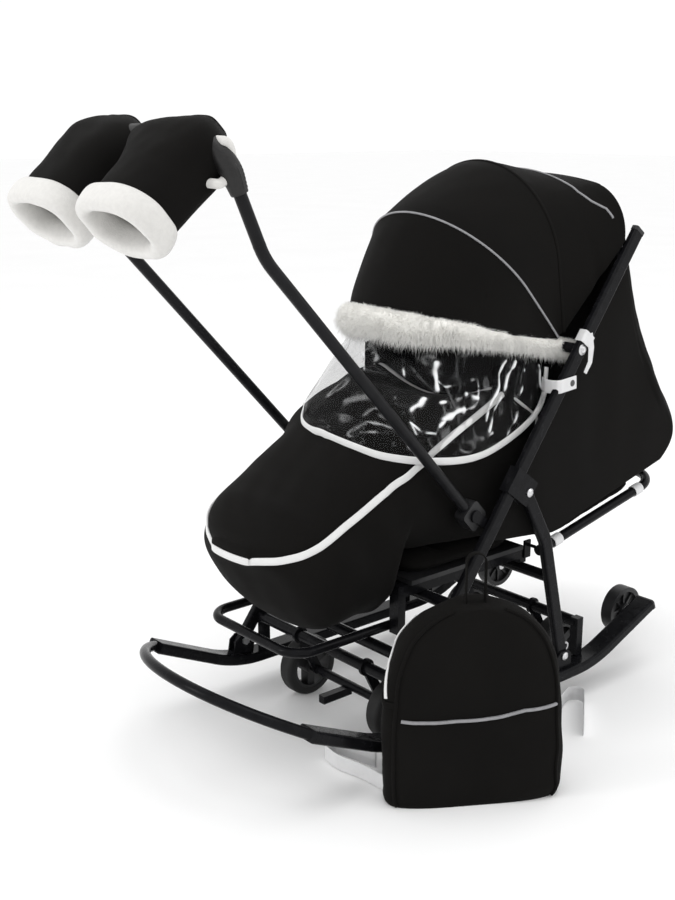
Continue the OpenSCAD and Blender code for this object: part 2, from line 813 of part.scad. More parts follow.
module front_axle() {
    color(frame_colour) {
        swing_axle(-axle_y);
        translate([-pedal_w / 2, -axle_y - pedal_reach, axle_z - pedal_drop - pedal_w / 2])
            cube([pedal_w, pedal_reach, pedal_w]);
    }
}

module front_axle_nuts() {
    color(zinc_colour) axle_nuts(-axle_y);
}

module rear_axle() {
    color(frame_colour) swing_axle(axle_y);
}

module rear_axle_nuts() {
    color(zinc_colour) axle_nuts(axle_y);
}

// Wheels

// Moulded road wheel: rim, flat spokes and a bored hub
module road_wheel() {
    rotate([0, 90, 0]) difference() {
        union() {
            difference() {
                cylinder(h = wheel_w - 2 * rim_in, r = rim_r, center = true);
                cylinder(h = wheel_w, r = rim_r - rim_t, center = true);
            }
            cylinder(h = wheel_w, r = hub_r, center = true);
            for (i = [0 : spokes - 1])
                rotate(360 * i / spokes)
                    translate([0, -spoke_w / 2, -spoke_t / 2]) cube([rim_r - rim_t / 2, spoke_w, spoke_t]);
        }
        cylinder(h = 2 * wheel_w, d = spindle_d + 2 * run_gap, center = true);
    }
}

// Tyre with round shoulders on the rim
module road_tyre() {
    rotate([0, 90, 0]) rotate_extrude() translate([rim_r, 0]) difference() {
        translate([tyre_fit, -wheel_w / 2]) square([tyre_depth - tyre_fit, wheel_w]);
        for (s = [-1, 1])
            translate([tyre_depth - tyre_round, s * (wheel_w / 2 - tyre_round)]) difference() {
                translate([0, s < 0 ? -tyre_round - over : 0]) square([tyre_round + over, tyre_round + over]);
                circle(tyre_round);
            }
    }
}

module front_wheel_left() {
    color(plastic_colour) translate([wheel_x, -axle_y, axle_z]) road_wheel();
}

module front_tyre_left() {
    color(frame_colour) translate([wheel_x, -axle_y, axle_z]) road_tyre();
}

module front_wheel_right() {
    color(plastic_colour) translate([-wheel_x, -axle_y, axle_z]) road_wheel();
}

module front_tyre_right() {
    color(frame_colour) translate([-wheel_x, -axle_y, axle_z]) road_tyre();
}

module rear_wheel_left() {
    color(plastic_colour) translate([wheel_x, axle_y, axle_z]) road_wheel();
}

module rear_tyre_left() {
    color(frame_colour) translate([wheel_x, axle_y, axle_z]) road_tyre();
}

module rear_wheel_right() {
    color(plastic_colour) translate([-wheel_x, axle_y, axle_z]) road_wheel();
}

module rear_tyre_right() {
    color(frame_colour) translate([-wheel_x, axle_y, axle_z]) road_tyre();
}

// One-piece tail wheel: tread, web and radial ribs
module tail_wheel() {
    rim = tail_wheel_d / 2 - tail_rim_t;
    rotate([0, 90, 0]) difference() {
        union() {
            difference() {
                cylinder(h = tail_wheel_w, d = tail_wheel_d, center = true);
                cylinder(h = 2 * tail_wheel_w, r = rim, center = true);
            }
            cylinder(h = tail_web_t, r = rim + over, center = true);
            cylinder(h = tail_wheel_w, r = tail_hub_r, center = true);
            for (i = [0 : tail_ribs - 1])
                rotate(360 * i / tail_ribs)
                    translate([0, -tail_rib_w / 2, -tail_rib_t / 2]) cube([rim + over, tail_rib_w, tail_rib_t]);
        }
        cylinder(h = 2 * tail_wheel_w, d = spindle_d + 2 * run_gap, center = true);
    }
}

module tail_wheel_left() {
    color(plastic_colour) translate([tail_x, tail_wheel_y, tail_wheel_z]) tail_wheel();
}

module tail_wheel_right() {
    color(plastic_colour) translate([-tail_x, tail_wheel_y, tail_wheel_z]) tail_wheel();
}

// Stub axle from the inner side of each runner tail, with a head that keeps the wheel on
module tail_axles() {
    x0 = tail_x - tail_wheel_w / 2 - gap;
    place = [tail_wheel_y, tail_wheel_z];
    color(zinc_colour) both() {
        bar_x(x0, (track - runner_w) / 2, place, spindle_d);
        bar_x(tail_x + tail_wheel_w / 2 + gap, (track - runner_w) / 2, place, 2 * nut_r);
        translate([(track - runner_w) / 2 - tail_lug_t, tail_wheel_y - tail_lug_w / 2, tail_wheel_z])
            cube([tail_lug_t, tail_lug_w, tail_drop]);
        bar_x(x0 - bolt_head_t, x0, place, bolt_head_d);
    }
}

// Handle

// Puts children at the left handle pivot, with +Z along the lower arm and +Y towards the foot end
module on_handle(along = 0) {
    translate([handle_x, handle_pivot[0], handle_pivot[1]]) rotate([90 - handle_slope, 0, 0]) rotate(180)
        translate([0, 0, along]) children();
}

// Puts children at the end of the arm's bend, with +Z along the upper arm and +Y towards the rear
module on_upper(along = 0) {
    on_handle(handle_low - handle_trim) rotate(180)
        translate([0, handle_bend, 0]) rotate([-handle_turn, 0, 0]) translate([0, -handle_bend, along]) children();
}

// One bent tube from pivot to pivot
module handle_tube() {
    low = handle_low - handle_trim - handle_start;
    up = handle_up - handle_trim - handle_corner;
    color(frame_colour) on_handle(handle_start) rotate(180)
        bent_tube([[low, handle_turn, handle_bend, 0], [up, 90, handle_corner, 90],
            [2 * cross_half, 90, handle_corner, 0], [up, handle_turn, handle_bend, -90], [low, 0, 0, 0]],
            handle_d, handle_d, handle_d / 2);
}

// Round tube on the path of the upper arms and the bar
module grip_path(start, d) {
    up = handle_up - handle_trim - handle_corner - start;
    on_upper(start) bent_tube([[up, 90, handle_corner, 90], [2 * cross_half, 90, handle_corner, 0], [up, 0, 0, 0]],
        d, d, d / 2);
}

// Square moulded housing at each pivot, bored for its pin
module handle_housings() {
    color(plastic_colour) both() difference() {
        on_handle(0) rotate([0, 90, 0]) linear_extrude(housing_t, center = true)
            round_rect(housing, housing, housing_round);
        bar_x(handle_x - housing_t, handle_x + housing_t, handle_pivot, 2 * pin_r + 2 * run_gap);
    }
}

module handle_grip() {
    color(frame_colour) difference() {
        grip_path(grip_start, handle_d + 2 * grip_wall);
        grip_path(grip_start - over, handle_d + 2 * run_gap);
    }
}

// Plate on each main tube, with the pin that the handle turns on
module handle_brackets() {
    wide = bolt_head_d + 2 * handle_plate_rim;
    plate_x = handle_x + housing_t / 2 + gap;
    head_x = handle_x - housing_t / 2 - gap;
    pin = [-handle_ahead, handle_at];
    color(frame_colour) both()
        translate([0, main_foot, main_foot_z]) rotate([main_slope - 90, 0, 0]) {
            bar_x(plate_x, inner_x, pin, wide);
            translate([plate_x, -handle_ahead, handle_at - wide / 2 + plate_inset])
                cube([inner_x - plate_x, handle_ahead + tube_d / 2, wide - 2 * plate_inset]);
            bar_x(head_x - bolt_head_t / 2, inner_x - over, pin, 2 * pin_r);
            bar_x(head_x - bolt_head_t, head_x, pin, bolt_head_d);
        }
}

// Hand muff: a padded sleeve closed over the handle bar and open at the cuff
module mitten() {
    function place(across, up, along) = [mitt_x + across,
        bar_point[0] - (along - mitt_over) * cos(mitt_slope) - up * sin(mitt_slope),
        bar_point[1] - (along - mitt_over) * sin(mitt_slope) + up * cos(mitt_slope)];
    function draw(s) = pow(1 - min(1, s / mitt_round_share), 2);
    function wide(s) = mitt_w / 2 * sqrt(1 - draw(s) * mitt_wide_share);
    function deep(s) = mitt_d / 2 * sqrt(1 - draw(s) * mitt_deep_share);
    function sleeve(off, s0, s1) = [for (i = [0 : mitt_rows]) let (s = mix(s0, s1, i / mitt_rows))
        [for (p = ring(wide(s) - off, deep(s) - off, mitt_power_share, mitt_cols))
            place(p[0], p[1] - mitt_drop, s * mitt_len)]];
    outer = sleeve(0, mitt_tip_share, 1);
    inner = sleeve(muff_wall, 1, mitt_hollow_share);
    difference() {
        skin(concat(outer, inner));
        grip_path(0, handle_d + 2 * grip_wall + 2 * gap, $fn = 16);
    }
}

module mitten_left() {
    color(cloth_colour) mitten();
}

module mitten_right() {
    color(cloth_colour) mirror([1, 0, 0]) mitten();
}

// Hood

// Strip bow on two eyes, standing up from the pivot in the plane of its slope
module bow(half, reach, slope) {
    leg = leg_len(half, reach);
    translate([0, hood_pivot[0], hood_pivot[1]]) rotate([90 - slope, 0, 0]) difference() {
        union() {
            both() translate([half - bow_t / 2, 0, 0]) rotate([0, 90, 0]) cylinder(h = bow_t, r = eye_r);
            translate([half, 0, 0]) rotate([0, -bow_lean, 0]) rotate(90)
                bent_tube([[leg, half_turn - 2 * bow_lean, crown_r(half, reach), 0], [leg, 0, 0, 0]], bow_w, bow_t, 0);
        }
        translate([-half - bow_t, 0, 0]) rotate([0, 90, 0])
            cylinder(h = 2 * half + 2 * bow_t, r = hood_pin_r + run_gap);
    }
}

module hood_front_bow() {
    color(frame_colour) bow(bow_x, front_bow_l, front_bow_slope);
}

module hood_mid_bow() {
    color(frame_colour) bow(bow_x - bow_step, mid_bow_l, mid_bow_slope);
}

module hood_top_bow() {
    color(frame_colour) bow(bow_x - 2 * bow_step, top_bow_l, top_bow_slope);
}

// Stepped pin from each main tube through the eyes of the three bows
module hood_pins() {
    x1 = bow_x + bow_t / 2 + gap;
    x0 = bow_x - 2 * bow_step - bow_t / 2 - eye_r * tan(bow_lean) - gap;
    color(zinc_colour) both() {
        bar_x(x1, inner_x, hood_pivot, 2 * eye_r);
        bar_x(x0 - hood_pin_head, x1, hood_pivot, 2 * hood_pin_r);
        bar_x(x0 - hood_pin_head, x0, hood_pivot, 2 * eye_r);
    }
}

// Arch that stands on the main tubes and carries the hood's back edge
module rear_arch() {
    color(frame_colour) translate([rear_arch_x, rear_arch_foot[0], rear_arch_foot[1]]) rotate(90)
        bent_tube([[rear_arch_leg, rear_arch_turn, rear_arch_corner, 0], [0, rear_crown_turn, rear_crown_r, 0],
            [0, rear_arch_turn, rear_arch_corner, 0], [rear_arch_leg, 0, 0, 0]],
            rear_arch_d, rear_arch_d, rear_arch_d / 2, $fn = arch_sides);
}

// Webbing loop round each main tube at the hood's corner
module hood_straps() {
    inside = [tube_w + 2 * gap, tube_d + 2 * gap];
    color(white_colour) both() on_main(hood_at + eye_r + gap) linear_extrude(strap_w) difference() {
        square([inside[0] + 2 * strap_t, inside[1] + 2 * strap_t], center = true);
        square(inside, center = true);
    }
}

// Back edge of the hood, over the rear arch
function arch_point(off, share) =
    let (side = share < 0 ? -1 : 1, s = 1 - abs(share), r = rear_arch_corner + off,
        x0 = rear_arch_x - rear_arch_corner, z0 = rear_arch_foot[1] + rear_arch_leg, c = rear_crown_r + off,
        bend = rear_arch_turn * (s - arch_leg_share) / (arch_corner_share - arch_leg_share),
        crown = mix(90, rear_arch_turn, (1 - s) / (1 - arch_corner_share)),
        low = (rear_arch_corner - rear_crown_r) * sin(rear_arch_turn))
    s < arch_leg_share ? [side * (rear_arch_x + off), rear_arch_foot[0], z0 - rear_arch_leg * (1 - s / arch_leg_share)]
    : s < arch_corner_share ? [side * (x0 + r * cos(bend)), rear_arch_foot[0], z0 + r * sin(bend)]
    : [side * c * cos(crown), rear_arch_foot[0], z0 + low + c * sin(crown)];

// Rows of the hood cover from the front bow over the other bows to the rear arch
function cover_grid(off) =
    let (shares = [for (j = [-cover_cols : cover_cols]) j / cover_cols], mid = [0, hood_pivot[0], hood_pivot[1]],
        bows = [[front_bow_l, front_bow_slope], [mid_bow_l, mid_bow_slope], [top_bow_l, top_bow_slope]],
        curves = concat(
            [for (b = bows) [for (s = shares) on_bow(b[1], bow_point(bow_x + off, b[0] + off, s * cover_base_share))]],
            [[for (s = shares) arch_point(rear_arch_d / 2 + off - bow_t / 2, s * arch_base_share)]]))
    [for (c = [0 : len(curves) - 2], i = [(c == 0 ? 0 : 1) : cover_rows])
        let (s = i / cover_rows, sag = cover_sag * sin(180 * s))
        [for (j = [0 : len(shares) - 1])
            let (a = curves[c][j], b = curves[c + 1][j], p = mix(a, b, s), near = norm(p - mid),
                full = mix(norm(a - mid), norm(b - mid), s))
            c < 2 ? mid + (p - mid) * (mix(near, full, sag_share) - sag) / near : p]];

module hood_cover() {
    color(cloth_colour) sheet(cover_grid(cover_off + cloth_t), cover_grid(cover_off));
}

// Fur roll below the front bow
module fur_trim() {
    half = bow_x - fur_in;
    reach = front_bow_l + fur_out;
    leg = leg_len(half, reach) - fur_start;
    color(fur_colour) translate([0, hood_pivot[0], hood_pivot[1]]) rotate([90 - front_bow_slope, 0, 0])
        translate([half, -fur_below, 0]) rotate([0, -bow_lean, 0]) rotate(90) translate([0, 0, fur_start])
            bent_tube([[leg, half_turn - 2 * bow_lean, crown_r(half, reach), 0], [leg, 0, 0, 0]],
                fur_d, fur_d, fur_d / 2);
}

// Clear sheet from under the fur down over the footmuff
function window_top(s) = on_bow(front_bow_slope,
    bow_point(bow_x - window_in, front_bow_l - window_short, s * cover_base_share), fur_below + fur_d / 2 + gap);
function window_low(s) = let (a = abs(s))
    [sign(s) * window_x * lookup(a, window_out_shares), mix(window_front, window_back, lookup(a, window_back_shares)),
        window_low_z + window_rise * lookup(a, window_rise_shares)];
function window_grid(off) = [for (i = [0 : window_rows]) [for (j = [-window_cols : window_cols])
    let (s = j / window_cols, t = i / window_rows, ahead = 1 - abs(s))
    mix(window_top(s), window_low(s), t) + [off * s, -ahead * (off + window_bow * sin(180 * t)), 0]]];

module window() {
    color(clear_colour) sheet(window_grid(cloth_t), window_grid(0));
}

// Seat and footrest

// Two rails on the cross tubes, with lugs and pins for the footrest and the backrest
module seat_frame() {
    rail_out = rail_x + rail_w / 2;
    post_z = leg_bar[1] + cross_d / 2;
    foot_out = foot_x + foot_d / 2 + gap;
    color(frame_colour) both() {
        translate([rail_out - rail_w, rail_front, rail_z]) cube([rail_w, rail_back - rail_front, rail_h]);
        translate([rail_out - rail_w, rail_back - rail_w, post_z]) cube([rail_w, rail_w, rail_z - post_z + over]);
        translate([foot_out, foot_hinge[0] - lug_w / 2, foot_hinge[1] - lug_w / 2])
            cube([rail_out - foot_out, lug_w, rail_z + rail_h - foot_hinge[1] + lug_w / 2]);
        bar_x(foot_x - foot_d / 2, foot_out + over, foot_hinge, hinge_pin_d);
        translate([rail_out - over, bed_hinge - lug_w / 2, rail_z])
            cube([plate_t + over, lug_w, bed_hinge_up + lug_w / 2]);
        bar_x(rail_out, bed_x + bed_d / 2, [bed_hinge, bed_hinge_z], hinge_pin_d);
    }
}

module seat_board() {
    color(plastic_colour) translate([-seat_w / 2, seat_front, board_z]) cube([seat_w, seat_len, board_t]);
}

module seat_pad() {
    color(cloth_colour) translate([0, seat_front + seat_len / 2, pad_z]) cushion(seat_w, seat_len, pad_t, pad_crown);
}

// U tube that carries the footmuff, hinged to the seat rails
module footrest_frame() {
    long = foot_len + foot_d / 2 - foot_corner;
    color(frame_colour) difference() {
        translate([foot_x, foot_hinge[0] + foot_d / 2, foot_hinge[1]]) rotate([90, 0, 0]) rotate(90)
            bent_tube([[long, 90, foot_corner, 0], [2 * (foot_x - foot_corner), 90, foot_corner, 0], [long, 0, 0, 0]],
                foot_d, foot_d, foot_d / 2);
        bar_x(-foot_x - foot_d, foot_x + foot_d, foot_hinge, hinge_pin_d + 2 * run_gap);
    }
}

// Backrest

// Puts children at the left backrest hinge, with +Z along the frame and +Y below it
module on_bed(x, along = 0) {
    translate([x, bed_hinge, bed_hinge_z]) rotate([bed_slope - 90, 0, 0]) translate([0, 0, along]) children();
}

module backrest_frame() {
    long = bed_len + bed_d / 2 - bed_corner;
    color(frame_colour) difference() {
        on_bed(bed_x, -bed_d / 2) rotate(90)
            bent_tube([[long, 90, bed_corner, 0], [2 * (bed_x - bed_corner), 90, bed_corner, 0], [long, 0, 0, 0]],
                bed_d, bed_d, bed_d / 2);
        bar_x(-bed_x - bed_d, bed_x + bed_d, [bed_hinge, bed_hinge_z], hinge_pin_d + 2 * run_gap);
    }
}

module backrest_pad() {
    width = 2 * (bed_x - bed_d / 2 + bed_pad_bulge);
    length = bed_len - bed_pad_short;
    color(cloth_colour) on_bed(0, bed_d + length / 2) rotate([90, 0, 0])
        translate([0, 0, bed_pad_sink - bed_d / 2]) cushion(width, length, pad_t, pad_crown);
}

// Hook-and-loop bands that hold the curtain on the backrest tube
module bed_straps() {
    color(white_colour) both()
        for (along = bed_strap_places)
            on_bed(bed_x, along) linear_extrude(strap_w) difference() {
                circle(d = bed_d + 2 * strap_t + 2 * run_gap);
                circle(d = bed_d + 2 * run_gap);
            }
}

// Soft goods

function muff_rings(off, s0, s1) = [for (i = [0 : muff_rows]) let (s = mix(s0, s1, i / muff_rows),
    top = muff_z + muff_h * lookup(s, muff_top_shares) - off, low = muff_z + muff_h * lookup(s, muff_low_shares) + off,
    half = muff_w / 2 * lookup(s, muff_wide_shares) - off)
    [for (p = ring(half, (top - low) / 2, muff_power_share, muff_cols))
        [p[0], muff_front + s * muff_len, (top + low) / 2 + p[1]]]];

// Padded bag for the legs, open towards the seat
module footmuff() {
    color(cloth_colour) skin(concat(muff_rings(0, 0, 1), muff_rings(muff_wall, 1, 0.06)));
}

// Cloth that hangs from the main tubes and the rear arch down to the backrest
function curtain_top(s) =
    let (a = abs(s), low = main_at(curtain_low, -curtain_gap), high = main_at(rear_arch_at, -curtain_gap),
        k = 2 * a - 1, p = arch_point(-rear_arch_d, 2 * a))
    a > 0.5 ? [sign(s) * curtain_x, mix(high[0], low[0], k), mix(high[1], low[1], k)]
    : [sign(s) * min(curtain_x, p[0] + rear_arch_d), high[0], mix(p[2], high[1], pow(2 * a, 4))];
function curtain_foot(s) =
    let (a = abs(s), along = bed_len + curtain_past, k = (a - side_share) / (1 - side_share),
        turn = min(1, a / side_share), rear = [bed_hinge + along * cos(bed_slope),
            bed_hinge_z + along * sin(bed_slope) + curtain_lift])
    a > side_share ? [sign(s) * curtain_x, mix(rear[0] - curtain_corner, bed_hinge + curtain_start, k),
        mix(rear[1], bed_hinge_z + curtain_lift, k)]
    : [curtain_x * sign(s) * pow(turn, side_share), rear[0] - curtain_corner * pow(turn, 3), rear[1]];
function curtain_grid(off) = [for (i = [0 : curtain_rows]) let (t = i / curtain_rows)
    [for (j = [-curtain_cols : curtain_cols])
        let (s = j / curtain_cols, p = mix(curtain_top(s), curtain_foot(s), t),
            back = max(0, min(1, (back_end_share - abs(s)) / (back_end_share - back_full_share))),
            fold = fold_depth * sin(180 * t) * cos(180 * curtain_folds * s))
        [p[0] - sign(s) * off * min(1, 2 * abs(s)),
            p[1] + back * (curtain_bulge * sin(180 * pow(t, 4)) + fold - off), p[2]]]];

module bed_curtain() {
    color(cloth_colour) sheet(curtain_grid(0), curtain_grid(cloth_t));
}

// Bag

// Puts children at the bag's foot, with +X across its back and +Y towards the sled
module on_bag() {
    translate([bag_place[0], bag_place[1], 0]) rotate(bag_turn) children();
}

module bag_body() {
    function arch(t) = 1 - pow(max(0, t - bag_arch_share) / bag_head_share, bag_arch_power);
    function wide(t) = bag_w / 2 * mix(1, bag_slim_share, min(1, t / bag_arch_share)) * sqrt(arch(t));
    function deep(t) = bag_d / 2 * mix(1, bag_top_share, pow(t, bag_lean_power));
    rings = [for (i = [0 : bag_rows]) let (t = i / bag_rows, draw = i == 0 ? bag_foot_share : 1)
        [for (p = ring(wide(t) * draw, deep(t) * draw, bag_round_share, bag_cols)) [p[0], p[1], t * bag_h]]];
    color(cloth_colour) on_bag() skin(rings);
}

// Shoulder straps that lie on the floor behind the bag, standing on edge
module bag_straps() {
    color(white_colour) on_bag() for (i = [0 : len(strap_lengths) - 1])
        let (long = strap_lengths[i], start = strap_start_shares[i])
            translate([start[0] * bag_w / 2, start[1] * bag_d / 2, webbing_w / 2 + gap])
                rotate(strap_angles[i]) rotate([0, 90, 0])
                    bent_tube([[long[0], strap_turn, strap_r, strap_rolls[i]], [long[1], 0, 0, 0]],
                        webbing_w, webbing_t, 0);
}

// Carrying loop on the bag's top
module bag_loop() {
    color(cloth_colour) on_bag() translate([loop_r, 0, bag_h + gap]) rotate(90)
        bent_tube([[loop_up, half_turn, loop_r, 0], [loop_up, 0, 0, 0]], loop_w, webbing_t, 0);
}

runner_left();
runner_right();
front_arch();
runner_caps();
main_tube_left();
main_tube_right();
tube_caps();
foot_brackets();
rear_leg_left();
rear_leg_right();
leg_brackets();
saddles();
front_cross_tube();
rear_cross_tube();
lower_cross_tube();
seat_bar();
leg_crossbar();
seat_frame();
seat_board();
seat_pad();
handle_brackets();
rear_arch();
hood_pins();
hood_straps();
frame_bolts();
tail_axles();
footmuff();
hood_cover();
bed_curtain();
handle_tube();
handle_housings();
handle_grip();
mitten_left();
mitten_right();
hood_front_bow();
fur_trim();
window();
hood_mid_bow();
hood_top_bow();
backrest_frame();
backrest_pad();
bed_straps();
footrest_frame();
front_axle();
front_axle_nuts();
rear_axle();
rear_axle_nuts();
front_wheel_left();
front_tyre_left();
front_wheel_right();
front_tyre_right();
rear_wheel_left();
rear_tyre_left();
rear_wheel_right();
rear_tyre_right();
tail_wheel_left();
tail_wheel_right();
bag_body();
bag_straps();
bag_loop();
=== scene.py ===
import bpy
import numpy as np
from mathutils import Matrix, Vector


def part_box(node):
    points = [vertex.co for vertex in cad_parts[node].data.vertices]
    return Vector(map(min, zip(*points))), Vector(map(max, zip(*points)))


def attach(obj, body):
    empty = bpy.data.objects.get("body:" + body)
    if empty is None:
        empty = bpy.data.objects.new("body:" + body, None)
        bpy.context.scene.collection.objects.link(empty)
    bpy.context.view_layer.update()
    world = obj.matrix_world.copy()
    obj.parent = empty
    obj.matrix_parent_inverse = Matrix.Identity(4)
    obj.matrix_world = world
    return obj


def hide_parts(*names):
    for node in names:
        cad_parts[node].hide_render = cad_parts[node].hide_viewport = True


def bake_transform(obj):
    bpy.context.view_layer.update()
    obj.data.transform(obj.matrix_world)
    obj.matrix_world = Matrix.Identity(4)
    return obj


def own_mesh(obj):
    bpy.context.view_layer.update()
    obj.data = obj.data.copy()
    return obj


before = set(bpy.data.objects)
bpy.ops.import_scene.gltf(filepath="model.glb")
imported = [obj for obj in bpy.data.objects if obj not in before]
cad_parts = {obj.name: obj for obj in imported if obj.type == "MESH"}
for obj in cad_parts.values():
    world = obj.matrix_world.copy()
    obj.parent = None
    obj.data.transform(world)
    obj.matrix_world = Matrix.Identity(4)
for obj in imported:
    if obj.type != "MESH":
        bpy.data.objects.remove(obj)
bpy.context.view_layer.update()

# Studio: a wide white floor in an evenly bright room, seen from the child's left and the foot end.
# The camera stands where the object's own upright and level lines meet the picture's.
scene = bpy.context.scene
scene.view_settings.view_transform = "Standard"


def shown(name, data):
    """Object of some data, linked into the scene."""
    made = bpy.data.objects.new(name, data)
    scene.collection.objects.link(made)
    return made


camera_place = (1.5136, -1.5295, 1.0218)
camera_tilt = 90 - 14.963
camera_turn = 49.538
camera_lens = 49.469
room_light = 1.03
camera = shown("camera", bpy.data.cameras.new("camera"))
camera.location = camera_place
camera.rotation_euler = np.radians([camera_tilt, 0, camera_turn])
camera.data.lens = camera_lens
camera.data.sensor_width = 36
scene.camera = camera

scene.world = bpy.data.worlds.new("white_room")
scene.world.use_nodes = True
scene.world.node_tree.nodes["Background"].inputs["Color"].default_value = (1, 1, 1, 1)
scene.world.node_tree.nodes["Background"].inputs["Strength"].default_value = room_light
for name, place, aim, size, power in (
        ("top_lamp", (0.3, -0.6, 3.6), (0, 0, 0.4), (1.8, 1.8), 22),
        ("side_lamp", (3.2, 1.4, 2.4), (0, 0, 0.5), (3.0, 0.2), 14),
        ("front_lamp", (-1.2, -3.4, 1.5), (0, 0, 0.6), (0.5, 2.0), 20),
        ("back_lamp", (-2.4, 2.4, 2.6), (0, 0, 0.4), (1.6, 1.6), 6)):
    lamp = shown(name, bpy.data.lights.new(name, "AREA"))
    lamp.location = place
    way = np.subtract(aim, place)
    lamp.rotation_euler = (np.arctan2(np.hypot(way[0], way[1]), -way[2]), 0, np.arctan2(-way[0], way[1]))
    lamp.data.shape = "RECTANGLE"
    lamp.data.size, lamp.data.size_y = size
    lamp.data.energy = power

floor_half = 30.0
floor_mesh = bpy.data.meshes.new("floor")
floor_mesh.from_pydata([(-floor_half, -floor_half, 0), (floor_half, -floor_half, 0),
                        (floor_half, floor_half, 0), (-floor_half, floor_half, 0)], [], [(0, 1, 2, 3)])
floor = shown("floor", floor_mesh)


def add(tree, kind, **values):
    """New shader node of a kind, with some of its sockets at given values."""
    made = tree.nodes.new("ShaderNode" + kind)
    for socket, value in values.items():
        made.inputs[socket.replace("_", " ")].default_value = value
    return made


def join(tree, source, output, target, socket):
    """Link from a node's output to another node's socket."""
    tree.links.new(source.outputs[output], target.inputs[socket])


def finish(name, colour, rough=(0.4, 0.6), spread=0.15, patch=40.0, grain=0.0, grain_scale=900.0, **sockets):
    """Material from Object coordinates: broad noise moves the colour and the roughness between two values,
    fine noise gives the grain as bump, and the other sockets take one value all over."""
    made = bpy.data.materials.new(name)
    made.use_nodes = True
    tree = made.node_tree
    shader = tree.nodes["Principled BSDF"]
    for socket, value in sockets.items():
        shader.inputs[socket.replace("_", " ")].default_value = value
    place = add(tree, "TexCoord")
    broad = add(tree, "TexNoise", Scale=patch, Detail=4)
    join(tree, place, "Object", broad, "Vector")
    tint = add(tree, "ValToRGB")
    tint.color_ramp.elements[0].position = 0.3
    tint.color_ramp.elements[1].position = 0.7
    tint.color_ramp.elements[0].color = (*(np.array(colour) * (1 - spread)), 1)
    tint.color_ramp.elements[1].color = (*np.minimum(1, np.array(colour) * (1 + spread)), 1)
    join(tree, broad, "Fac", tint, "Fac")
    join(tree, tint, "Color", shader, "Base Color")
    polish = add(tree, "MapRange", From_Min=0.3, From_Max=0.7, To_Min=rough[0], To_Max=rough[1])
    join(tree, broad, "Fac", polish, "Value")
    join(tree, polish, "Result", shader, "Roughness")
    if grain:
        fine = add(tree, "TexNoise", Scale=grain_scale, Detail=3)
        join(tree, place, "Object", fine, "Vector")
        bump = add(tree, "Bump", Strength=grain, Distance=0.0006)
        join(tree, fine, "Fac", bump, "Height")
        join(tree, bump, "Normal", shader, "Normal")
    return made


white_floor = finish("white_floor", (0.955, 0.955, 0.955), rough=(0.85, 0.95), spread=0.01, patch=2.0,
                     Specular_IOR_Level=0.1)
floor_mesh.materials.append(white_floor)


# Steel frame: bent and welded tubes and pressed plates in black gloss powder coat.
# The coat is thick and slightly rippled, and it shines in thin lines along every edge.
def dress(material, *nodes):
    """Puts one material on CAD nodes whose shape is right as it is."""
    for node in nodes:
        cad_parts[node].data.materials.clear()
        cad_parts[node].data.materials.append(material)


frame_paint = finish("black_powder_coat", (0.006, 0.006, 0.007), rough=(0.2, 0.3), spread=0.25, patch=60,
                     grain=0.06, grain_scale=500, Specular_IOR_Level=0.08, Coat_Weight=0.01,
                     Coat_Roughness=0.1)
dress(frame_paint, "runner_left", "runner_right", "front_arch", "main_tube_left", "main_tube_right",
      "foot_brackets", "rear_leg_left", "rear_leg_right", "leg_brackets", "saddles", "front_cross_tube",
      "rear_cross_tube", "lower_cross_tube", "seat_bar", "leg_crossbar", "seat_frame", "handle_brackets",
      "rear_arch", "backrest_frame", "footrest_frame", "front_axle", "rear_axle", "hood_front_bow",
      "hood_mid_bow", "hood_top_bow", "hood_pins")
satin_paint = finish("satin_black_coat", (0.008, 0.008, 0.009), rough=(0.3, 0.4), spread=0.2, patch=50,
                     grain=0.1, grain_scale=700, Specular_IOR_Level=0.13)
dress(satin_paint, "handle_tube")

# Fasteners: zinc-plated bolts, nuts and pins,
# a little dulled from one to the next.
zinc = finish("zinc_plate", (0.62, 0.62, 0.63), rough=(0.25, 0.42), spread=0.12, patch=120, grain=0.1,
              Metallic=1.0)
dress(zinc, "frame_bolts", "tail_axles", "front_axle_nuts", "rear_axle_nuts")

# Moulded parts: end caps, handle housings, wheel bodies and the seat board in black plastic
# with a fine spark-eroded grain.
plastic = finish("black_moulded_plastic", (0.012, 0.012, 0.013), rough=(0.38, 0.52), spread=0.2, patch=70,
                 grain=0.25, grain_scale=1400, Specular_IOR_Level=0.35)
dress(plastic, "runner_caps", "tube_caps", "handle_housings", "seat_board", "front_wheel_left",
      "front_wheel_right", "rear_wheel_left", "rear_wheel_right", "tail_wheel_left", "tail_wheel_right")
rubber = finish("tyre_rubber", (0.011, 0.011, 0.011), rough=(0.55, 0.75), spread=0.3, patch=90, grain=0.3,
                grain_scale=1100, Specular_IOR_Level=0.3)
dress(rubber, "front_tyre_left", "front_tyre_right", "rear_tyre_left", "rear_tyre_right")


